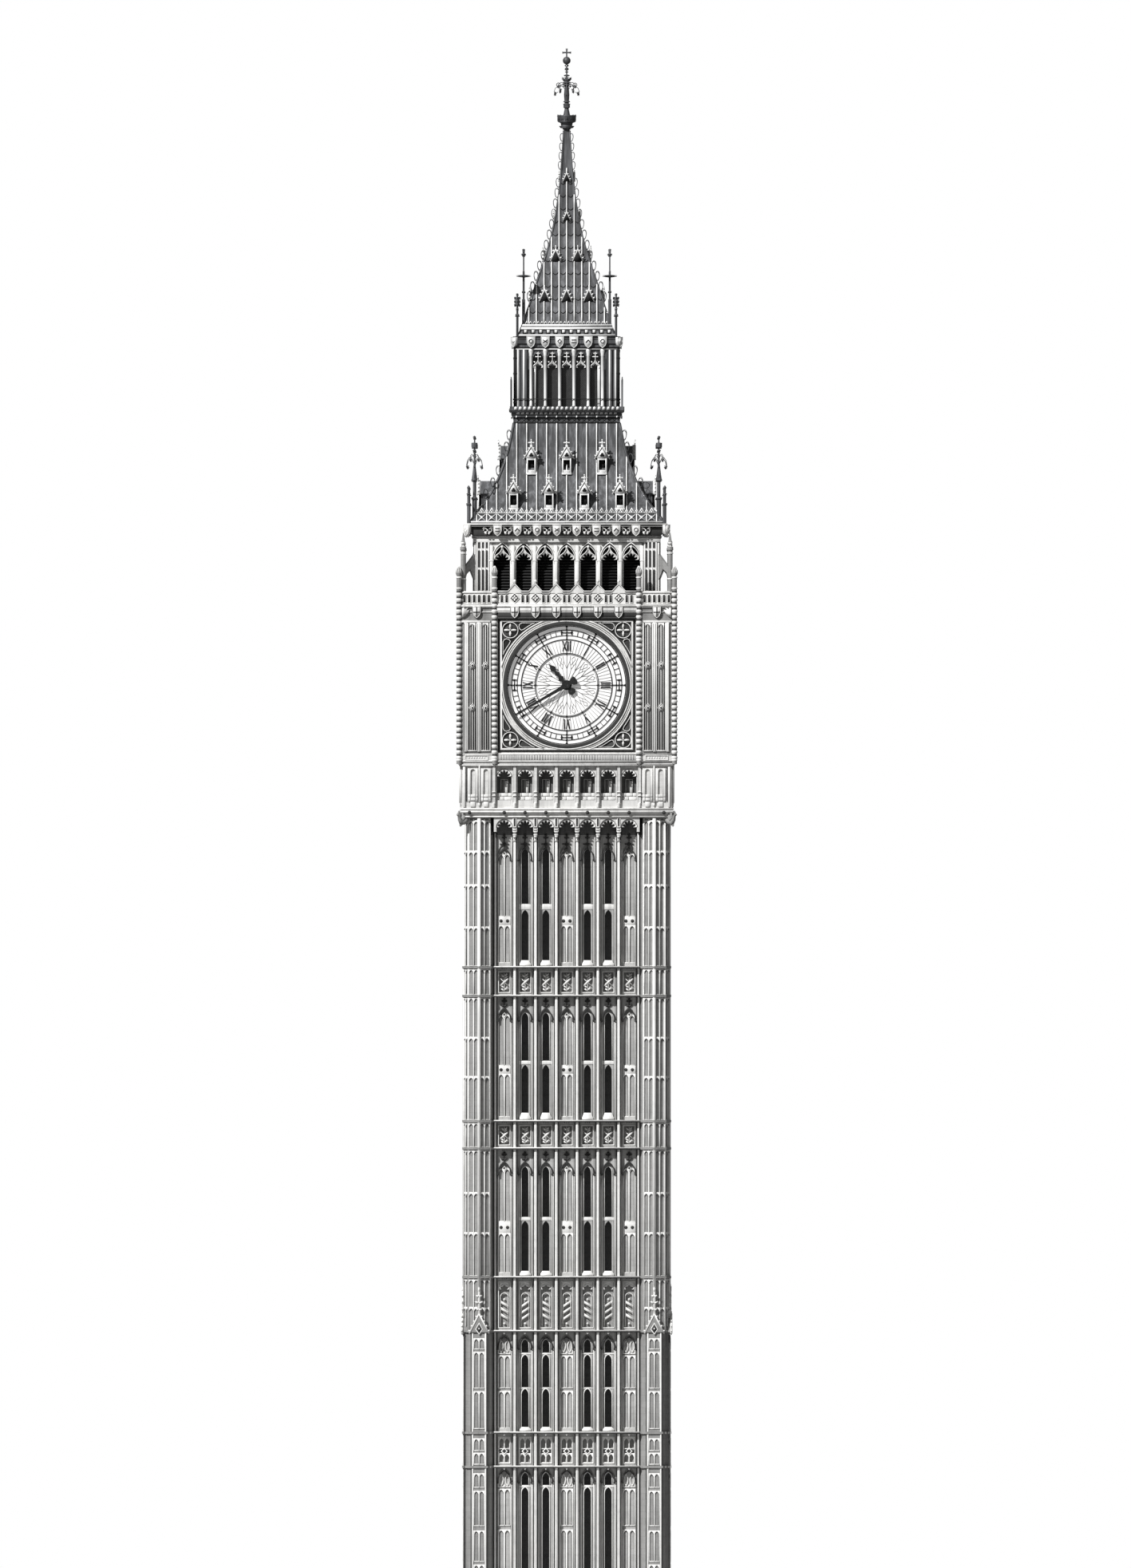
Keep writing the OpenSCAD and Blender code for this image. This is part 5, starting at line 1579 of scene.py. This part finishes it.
def finial_work():
    """Scrolls, discs, flower knobs and stays of the masts at the roofs' corners."""
    forms = []
    masts = ((BELFRY_OUT - 4, ROOF_Z[0]), (LANTERN_OUT - 54, SPIRE_Z[0]))
    c, z = masts[0]
    forms += [four_arms(scroll_arm(46, 58, 4), (c, -c, z + 328)),
              four_arms(scroll_arm(26, 34, 3.4), (c, -c, z + 372)),
              four_arms(moulding([(14, 0), (4, 60), (2, 76)], 4, 2, 4), (c, -c, z + 264))]
    for v, r in ((147, 20), (254, 20), (427, 11), (505, 9)):
        forms.append(turned_form([(6, -5), (r, -1), (r, 3), (6, 7)], 10, (c, -c, z + v)))
    c2 = BELFRY_OUT + 30
    for v, r in ((112, 15.5), (172, 13), (208, 10)):
        forms.append(turned_form([(6, -4), (r, -1), (r, 3), (6, 6)], 10, (c2, -c2, z + v)))
    c, z = masts[1]
    for v, r in ((214, 10), (262, 11), (356, 43), (482, 15), (508, 9)):
        forms.append(turned_form([(4, -6), (r, -1), (r, 1), (4, 5)], 12, (c, -c, z + v)))
    c2 = LANTERN_OUT - 17
    for v in (185, 205, 226):
        forms.append(four_arms(stud(13, 0, 6.5, 5, 7), (c2, -c2, z + v)))
    for v, r in ((122, 14), (160, 9), (246, 8)):
        forms.append(turned_form([(4, -4), (r, -1), (r, 2), (4, 5)], 10, (c2, -c2, z + v)))
    return joined(forms).all_round()


def gallery_work():
    """Lozenge band, leaning studs and two rows of rounded merlons round the lantern's foot, by finish."""
    pale, dark = [], []
    low = GALLERY_Z[0]
    half = GALLERY_OUT - 24
    pitch = 59.0
    for k in range(-5, 6):
        u = k * pitch
        if abs(u) < half - 10:
            pale.append(panel([(u - 5, low + 33), (u + 1, low + 29), (u + 5, low + 39), (u - 1, low + 43)],
                              half + 16, 8))
    for k in range(-5, 5):
        u = (k + 0.5) * pitch
        dark.append(moulding([(u - pitch / 2, low + 3), (u, low + 27), (u + pitch / 2, low + 3)], 3, half + 2, 4))
        dark.append(moulding([(u - pitch / 2, low + 27), (u, low + 3), (u + pitch / 2, low + 27)], 3, half + 2, 4))
    for z, face in ((low + 2, half + 3), (low + 28, half + 3)):
        dark.append(roll(face, z, 2.2, face))
    for z, tall, face in ((low + 52, 14, GALLERY_OUT - 12), (low + 76, 19, GALLERY_OUT + 1)):
        count = int(2 * (face - 12) / 27.2)
        for k in range(count):
            u = (k - (count - 1) / 2) * 27.2
            line = arc(u, z + tall - 8, 8.5, 0, 180, 5)
            pale.append(panel(np.vstack([[u - 8.5, z], [u + 8.5, z], line]), face + 3, 7))
        dark.append(block(-face, face, z - 8, z - 3, face + 2, 4))
    return four_sides(pale, dark)


def lantern_work():
    """Round shafts with capitals, keel heads with cross fleurons, arches, corner shafts, rails, by finish."""
    pale, dark = [], []
    low, high = LANTERN_Z
    out = LANTERN_OUT - 2
    step = 84.0
    shaft = [(10, 0), (12, 4), (9, 9), (9, high - low - 44), (11, high - low - 40), (9.5, high - low - 34),
             (14, high - low - 14), (14, high - low - 4)]
    for k in range(6):
        u = (k - 2.5) * step
        pale.append(turned_form(shaft, 10, (u, 4 - out, low)))
        # Painted shadow: a near-black strip just right of each shaft.
        dark.append(block(u + 12, u + 16, low + 4, high - 50, out - 10, 4))
    for k in range(5):
        u = (k - 2) * step
        head = high - 112
        pale.append(moulding(arch_line(u, head + 50, 66, 56, 8), 4, out - 4, 8))
        keel = ogee_line(u, head, 60, 44, 8)
        pale.append(moulding(keel, 5, out - 8, 8))
        pale.append(web(keel, foils(u, head - 2, 24, 3, 0.35, 16), out - 11, 6))
        for s in (-1, 1):
            pale.append(leaf(u + s * 16, head + 28, 15, 9, s * 40, out - 6, 5))
        pale.append(post(u, 2.5, head + 38, high - 8, out - 6, 6))
        for v, reach in ((head + 62, 14), (head + 82, 9)):
            pale.append(post(u, reach, v, v + 5, out - 5, 6))
            pale += [stud(u + s * reach, v + 2.5, 4, out - 4, 6) for s in (-1, 1)]
    for s in (-1, 1):
        pale.append(post(s * 189, 8, low, high - 96, out - 14, 10))
        dark.append(post(s * 234, 7, low + 4, high - 60, out - 1, 6))
        pale += [post(s * u, 5, low, high - 4, out + 4, 7) for u in (252, 286)]
        pale.append(post(s * 269, 3.5, low, high - 4, out + 2, 5))
    corner = turned_form([(11, 0), (11, 340)], 8, (LANTERN_OUT - 6, -(LANTERN_OUT - 6), low))
    rings = joined([turned_form([(9, 0), (13.5, 3), (13.5, 7), (9, 10)], 8,
                                (LANTERN_OUT - 6, -(LANTERN_OUT - 6), low + v))
                    for v in (20, 190, 280)])
    dark.append(roll(out + 8, low + 44, 2.2, out + 9))
    pale.append(roll(out, high - 3, 4, out + 2))
    return joined(pale).all_round(), joined(dark + [corner, rings]).all_round()


def lantern_cornice_work():
    """Six shields a side with plain devices, rolls, corner shields, the notched eaves and their cresting."""
    pale, dark = [], []
    low, high = TOP_CORNICE_Z
    out = span("lantern_cornice", 0)[1]
    for z, face, r in ((high - 5, out, 4), (high - 20, out - 2, 3.2), (high - 32, out - 6, 3.2),
                       (low + 5, LANTERN_OUT + 3, 3.5)):
        dark.append(roll(face, z, r, face))
    for k in range(6):
        u = (k - 2.5) * 84
        pale.append(shield(u, high - 1, 47, 68, out + 8, 22))
        dark.append(charge(u, high - 1, 47, 68, out + 11, (k + 2) % 5))
    corner = joined([shield(0, high - 6, 40, 60, 12, 18), panel([(-12, high - 30), (0, high - 42), (12, high - 30),
                                                                 (0, high - 18)], 14.6, 4)])
    pale.append(corner.turned(45).copies([(out - 8, -(out - 8), 0)]))
    z = SPIRE_Z[0]
    notch = 44.7
    for k in range(12):
        u = (k - 5.5) * notch
        if abs(u) < spire_half(z + 40) - 8:
            dark.append(on_slope(panel([(u - 12, z + 14), (u + 12, z + 14), (u + 12, z + 37), (u - 12, z + 37)], 6.5,
                                       6), spire_half))
            pale.append(on_slope(panel([(u - 4, z + 20), (u + 12, z + 20), (u + 12, z + 37), (u - 4, z + 37)], 9, 6),
                                 spire_half))
        for s in (-1, 1):
            v = u + s * notch / 4
            if abs(v) < spire_half(z + 90) - 6:
                pale.append(on_slope(moulding([(v + 8, z + 72), (v, z + 87), (v - 8, z + 72)], 3.4, 8, 9),
                                     spire_half))
    bands = joined([square_band(z + 2, z + 11, 8, spire_half), square_band(z + 40, z + 54, 8, spire_half),
                    square_band(z + 59, z + 70, 7, spire_half)])
    return joined(pale).all_round(), joined(dark).all_round(), bands


def spire_work():
    """Battens, scalloped courses, hip rolls and the roof lights' gables, by finish, with a near-black strip to the
    right of each batten as its painted shadow.
    """
    pale, dark = [], []
    low, high = SPIRE_Z
    pitch = 44.4
    for k in range(-6, 7):
        u = k * pitch
        top = hip_height(u, SPIRE_Z, spire_half)
        if top - low > 110:
            pale.append(batten(u, low + 74, min(top, high - 220), 7.5, 7, spire_half, 12))
            # Painted shadow: a thin near-black batten just right of the pale one.
            dark.append(batten(u + 6, low + 74, min(top, high - 220), 3.6, 2.5, spire_half, 12))
    for z in np.arange(low + 150, high - 230, 76.0):
        for k in range(-7, 7):
            u0, u1 = k * pitch, (k + 1) * pitch
            if max(abs(u0), abs(u1)) > spire_half(z) + 20:
                continue
            limit = float(spire_half(z)) - 3
            u = np.clip(np.linspace(u1 - 4, u0 + 4, 7), -limit, limit)
            v = z - 14 * np.sin(np.linspace(0, math.pi, 7))
            if u.max() - u.min() > 6:
                dark.append(on_slope(moulding(np.stack([u, v], -1), 4.0, 3.5, 5), spire_half))
    for share, count in ((0.172, 3), (0.367, 2), (0.565, 1), (0.755, 1)):
        z = low + share * (high - low)
        out, w = float(spire_half(z)) + 9, 1.0 if count > 1 else 0.7
        for k in range(count):
            u = (k - (count - 1) / 2) * 130
            pale.append(moulding([(u + 31 * w, z - 3), (u, z + 68 * w), (u - 31 * w, z - 3)], 7 * w, out + 4, 14))
            dark.append(panel([(u - 24 * w, z + 1), (u + 24 * w, z + 1), (u, z + 54 * w)], out + 1, 8))
            pale.append(post(u, 2.2, z + 66 * w, z + 92 * w, out + 2, 5))
            for s in (-1, 1):
                for f in (0.2, 0.5, 0.8):
                    pale.append(leaf(u + s * 30 * w * (1 - f), z + 68 * w * f, 17 * w, 11 * w, s * 55, out + 3, 5))
    return joined(pale).all_round(), joined(dark).all_round(), hip_roll(SPIRE_Z, spire_half, 6, 22).all_round()


def crown_work():
    """The crown's spikes, the finial's collars, leaves, rings and drooping flowers, and the cross's ends."""
    top = SPIRE_Z[1]
    forms, thin = [], []
    for k in range(12):
        a = 30 * k
        spike = panel([(-9, 60), (9, 60), (5, 78), (10, 94), (0, 84), (-10, 94), (-5, 78)], 55, 4)
        forms.append(spike.turned(a).copies([(0, 0, top)]))
    for z, r in ((8, 24), (24, 44), (56, 55), (154, 21), (169, 20), (270, 24), (282, 22), (323, 17), (359, 12),
                 (381, 12)):
        forms.append(turned_form([(8, -5), (r, -2), (r, 3), (8, 6)], 12, (0, 0, top + z)))
    for turn, z, reach, drop in ((0, 218, 74, 44), (45, 236, 58, 36), (0, 262, 52, 20)):
        for k in range(4):
            thin.append(scroll_arm(reach, drop, 3.4).turned(turn + 90 * k).copies([(0, 0, top + z)]))
            thin.append(leaf(reach * 0.9, 0, 22, 16, 170, 3, 5).turned(turn + 90 * k).copies([(0, 0, top + z + 4)]))
    for k in range(4):
        ring_form = moulding(ring(52, 268, 12, 12), 3.4, 1.7, 3.4, closed=True)
        thin.append(ring_form.turned(90 * k + 20).copies([(0, 0, top)]))
        thin.append(leaf(10, 288, 34, 16, 38, 3, 5).turned(90 * k + 20).copies([(0, 0, top)]))
    cross = top + 90 + 368
    thin.append(joined([panel([(-26, -7), (-26, 7), (-10, 2.5), (10, 2.5), (26, 7), (26, -7), (10, -2.5),
                               (-10, -2.5)][::-1], 4.5, 9),
                        panel([(-7, 23), (7, 23), (3, 4), (-3, 4)], 4.6, 9)]).copies([(0, 0, cross)]))
    return joined(forms), joined(thin)


# ---------------------------------------------------------------- what a user can set

class TowerSizes(bpy.types.PropertyGroup):
    """Sizes of the added work, at the tower's 1:10 scale."""
    bead_pitch: bpy.props.FloatProperty(
        name="Bead pitch", description="Distance between the beads on the clock stage's edge shafts", default=0.033,
        min=0.01, unit="LENGTH")


class TowerColours(bpy.types.PropertyGroup):
    """Colours of the stone, the roofs and the trim."""
    stone: bpy.props.FloatVectorProperty(
        name="Stone", description="Clean limestone", subtype="COLOR", size=3, default=(0.74, 0.735,
                                                                                       0.72), min=0, max=1)
    iron: bpy.props.FloatVectorProperty(
        name="Roof iron", description="Dark paint of the cast-iron roofs", subtype="COLOR", size=3,
        default=(0.060, 0.061, 0.064), min=0, max=1)
    trim: bpy.props.FloatVectorProperty(
        name="Trim", description="Pale paint of the roofs' battens and crests", subtype="COLOR", size=3,
        default=(0.80, 0.80, 0.79), min=0, max=1)


class TOWER_OT_stage(bpy.types.Operator):
    """Pale floor, soft studio light from the upper left, and the camera square to the front"""
    bl_idname = "tower.stage"
    bl_label = "Studio"

    def execute(self, context):
        scene = context.scene
        floor = bpy.data.meshes.new("studio_floor")
        a = np.linspace(0, 2 * math.pi, 96, endpoint=False)
        rim = np.stack([3.4 * np.cos(a), 3.4 * np.sin(a), 0 * a - 0.0005], -1)
        floor.from_pydata(rim.tolist(), [], [list(range(96))])
        floor = bpy.data.objects.new("studio_floor", floor)
        scene.collection.objects.link(floor)
        p = Paint("pale_floor")
        place = p.place()
        floor.data.materials.append(p.set(
            Base_Color=p.mix(p.noise(place, 2.0), grey(0.56), grey(0.50)), Roughness=0.8))

        world = bpy.data.worlds.new("studio")
        world.use_nodes = True
        tree = world.node_tree
        back = tree.nodes["Background"]
        path = tree.nodes.new("ShaderNodeLightPath")
        strength = tree.nodes.new("ShaderNodeMapRange")
        strength.inputs["To Min"].default_value = 0.20
        strength.inputs["To Max"].default_value = 1.0
        tree.links.new(path.outputs["Is Camera Ray"], strength.inputs[0])
        tree.links.new(strength.outputs[0], back.inputs["Strength"])
        back.inputs["Color"].default_value = (1, 1, 1, 1)
        scene.world = world
        scene.view_settings.view_transform = "Standard"

        sun = bpy.data.lights.new("key_light", "SUN")
        sun.energy, sun.angle = 4.7, math.radians(1.2)
        sun = bpy.data.objects.new("key_light", sun)
        sun.rotation_euler = (math.radians(48), 0, math.radians(-40))
        scene.collection.objects.link(sun)

        camera = bpy.data.cameras.new("camera")
        distance, height = 250.0, 9.1947
        camera.sensor_width = 36
        camera.lens = 36 * (distance - 0.45) / height
        camera.clip_end = 400
        camera = bpy.data.objects.new("camera", camera)
        camera.location = (-0.007, -distance, 5.2743)
        camera.rotation_euler = (math.radians(90), 0, 0)
        scene.collection.objects.link(camera)
        scene.camera = camera
        return {"FINISHED"}


class TOWER_OT_finish(bpy.types.Operator):
    """Gives every solid of the frame its stone, iron, brick or glass"""
    bl_idname = "tower.finish"
    bl_label = "Finishes"

    def execute(self, context):
        FINISH.update(finishes())
        by_slot = {"stone": "stone", "brick": "brick", "roof_iron": "iron", "dial_iron": "black",
                   "opal_glass": "opal", "window_glass": "glass", "hands": "black", "dark_boards": "boards"}
        for part in frame["record"]["subparts"]:
            made = bpy.data.objects[part["node"]]
            finish = FINISH[by_slot[part["material_slot"]]]
            # Turrets, piers and cornices take the darker copy of the stone: painted shade.
            if part["node"].startswith(("turret", "clock_piers", "belfry_p", "belfry_cornice", "clock_cornice")):
                finish = FINISH["shade"]
            # The parapet takes the lighter copy of the stone: painted light.
            if part["node"] == "clock_parapet":
                finish = FINISH["carved"]
            if not made.material_slots:
                made.data.materials.append(finish)
            for place in made.material_slots:
                place.material = finish
        return {"FINISHED"}


def dress(parts):
    """Makes the pieces of a group from (name, form, finish)."""
    for name, form, finish in parts:
        piece(name, form, finish)


def carve(groups):
    """Makes each group's pale carving, in the lighter copy of the stone that paints light on it, and the near-black
    lines in it, which paint the shade of its grooves and recesses.
    """
    for name, made in groups.items():
        pale, dark = made()
        dress([(name + "_carving", pale, "carved"), (name + "_lines", dark, "soot")])


class TOWER_OT_shaft(bpy.types.Operator):
    """Tracery of the shaft's bays, carved bands, hoods, ribs, turret faces and buttresses"""
    bl_idname = "tower.shaft"
    bl_label = "Shaft stonework"

    def execute(self, context):
        pale, dark, bars = shaft_bays()
        dress([("bay_tracery", pale, "carved"), ("bay_hoods", dark, "soot")])
        dress([("corner_beasts", gargoyles(), "shade")])
        dress([("window_bars", bars, "black")])
        carve({"rib": rib_dressing, "band": band_panels, "string": string_courses, "corbel": corbel_table,
               "turret": turret_facets, "buttress": buttress_faces})
        return {"FINISHED"}


class TOWER_OT_clock(bpy.types.Operator):
    """Arcade, base course, piers with beaded shafts, and the stone round the dials"""
    bl_idname = "tower.clock"
    bl_label = "Clock stage"

    def execute(self, context):
        carve({"arcade": arcade_work, "base_course": base_course_work, "shaft_beads": beaded_shafts,
               "pier": clock_pier_panels, "dial_surround": dial_surround})
        return {"FINISHED"}


class TOWER_OT_dials(bpy.types.Operator):
    """Rings, hour signs, crosses and bars of the four dials"""
    bl_idname = "tower.dials"
    bl_label = "Dials"

    def execute(self, context):
        black, fine = dial_iron()
        signs = piece("dial_signs", black, "black")
        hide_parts("dial_frames")
        dress([("dial_fine_bars", fine, "fine")])
        return {"FINISHED"}


class TOWER_OT_belfry(bpy.types.Operator):
    """Frieze, parapet, belfry arches, louvres, pinnacles and the cornice of shields"""
    bl_idname = "tower.belfry"
    bl_label = "Parapet and belfry"

    def execute(self, context):
        carve({"frieze": frieze_work, "parapet": parapet_work, "belfry": belfry_work,
               "belfry_cornice": belfry_cornice_work})
        dress([("pinnacle_collars", pinnacle_work(), "carved")])
        dress([("louvre_slats", louvre_slats(), "boards")])
        return {"FINISHED"}


class TOWER_OT_roofs(bpy.types.Operator):
    """Battens, cresting, dormers, scrolls, gallery, lantern, spire, crown and cross"""
    bl_idname = "tower.roofs"
    bl_label = "Cast-iron roofs"

    def execute(self, context):
        pale, dark, hips = lower_roof_work()
        dress([("roof_battens", pale, "trim"), ("roof_batten_shadows", dark, "boards"), ("roof_hips", hips, "iron")])
        pale, dark, bands = lantern_cornice_work()
        dress([("lantern_shields", pale, "trim"), ("lantern_cornice_lines", dark, "boards"),
               ("eaves_bands", bands, "trim")])
        pale, dark, hips = spire_work()
        dress([("spire_battens", pale, "trim"), ("spire_scallops_and_batten_shadows", dark, "boards"), ("spire_hips", hips, "iron")])
        for name, made in (("dormer", dormer_trim), ("gallery", gallery_work), ("lantern", lantern_work)):
            pale, dark = made()
            dress([(name + "_trim", pale, "trim"), (name + "_lines", dark, "boards")])
        loops = joined([hip_loops((ROOF_Z[0] + 148, ROOF_Z[1] - 40), lower_half, 70, 34, 56),
                        hip_loops((SPIRE_Z[0] + 210, SPIRE_Z[0] + 930), spire_half, 61, 32, 54),
                        hip_loops((SPIRE_Z[0] + 985, SPIRE_Z[1] - 30), spire_half, 55, 28, 46)])
        solid, thin = crown_work()
        dress([("hip_loops", loops, "iron"), ("mast_scrolls", finial_work(), "iron"),
               ("crown_collars", solid, "iron"),
               ("finial_flowers", thin, "iron")])
        return {"FINISHED"}


OPERATORS = [TOWER_OT_stage, TOWER_OT_finish, TOWER_OT_shaft, TOWER_OT_clock, TOWER_OT_dials, TOWER_OT_belfry,
             TOWER_OT_roofs]


class TOWER_PT_panel(bpy.types.Panel):
    """Clock tower"""
    bl_idname = "TOWER_PT_panel"
    bl_label = "Clock Tower"
    bl_space_type = "VIEW_3D"
    bl_region_type = "UI"
    bl_category = "Clock Tower"

    def draw(self, context):
        for group in (context.scene.tower_sizes, context.scene.tower_colours):
            for name in group.__annotations__:
                self.layout.prop(group, name)
        for operator in OPERATORS:
            self.layout.operator(operator.bl_idname)


CLASSES = [TowerSizes, TowerColours] + OPERATORS + [TOWER_PT_panel]


def register():
    for made in CLASSES:
        bpy.utils.register_class(made)
    bpy.types.Scene.tower_sizes = bpy.props.PointerProperty(type=TowerSizes)
    bpy.types.Scene.tower_colours = bpy.props.PointerProperty(type=TowerColours)


def unregister():
    del bpy.types.Scene.tower_sizes
    del bpy.types.Scene.tower_colours
    for made in reversed(CLASSES):
        bpy.utils.unregister_class(made)


def main():
    register()
    for operator in OPERATORS:
        group, name = operator.bl_idname.split(".")
        getattr(getattr(bpy.ops, group), name)()


if __name__ == "__main__":
    main()
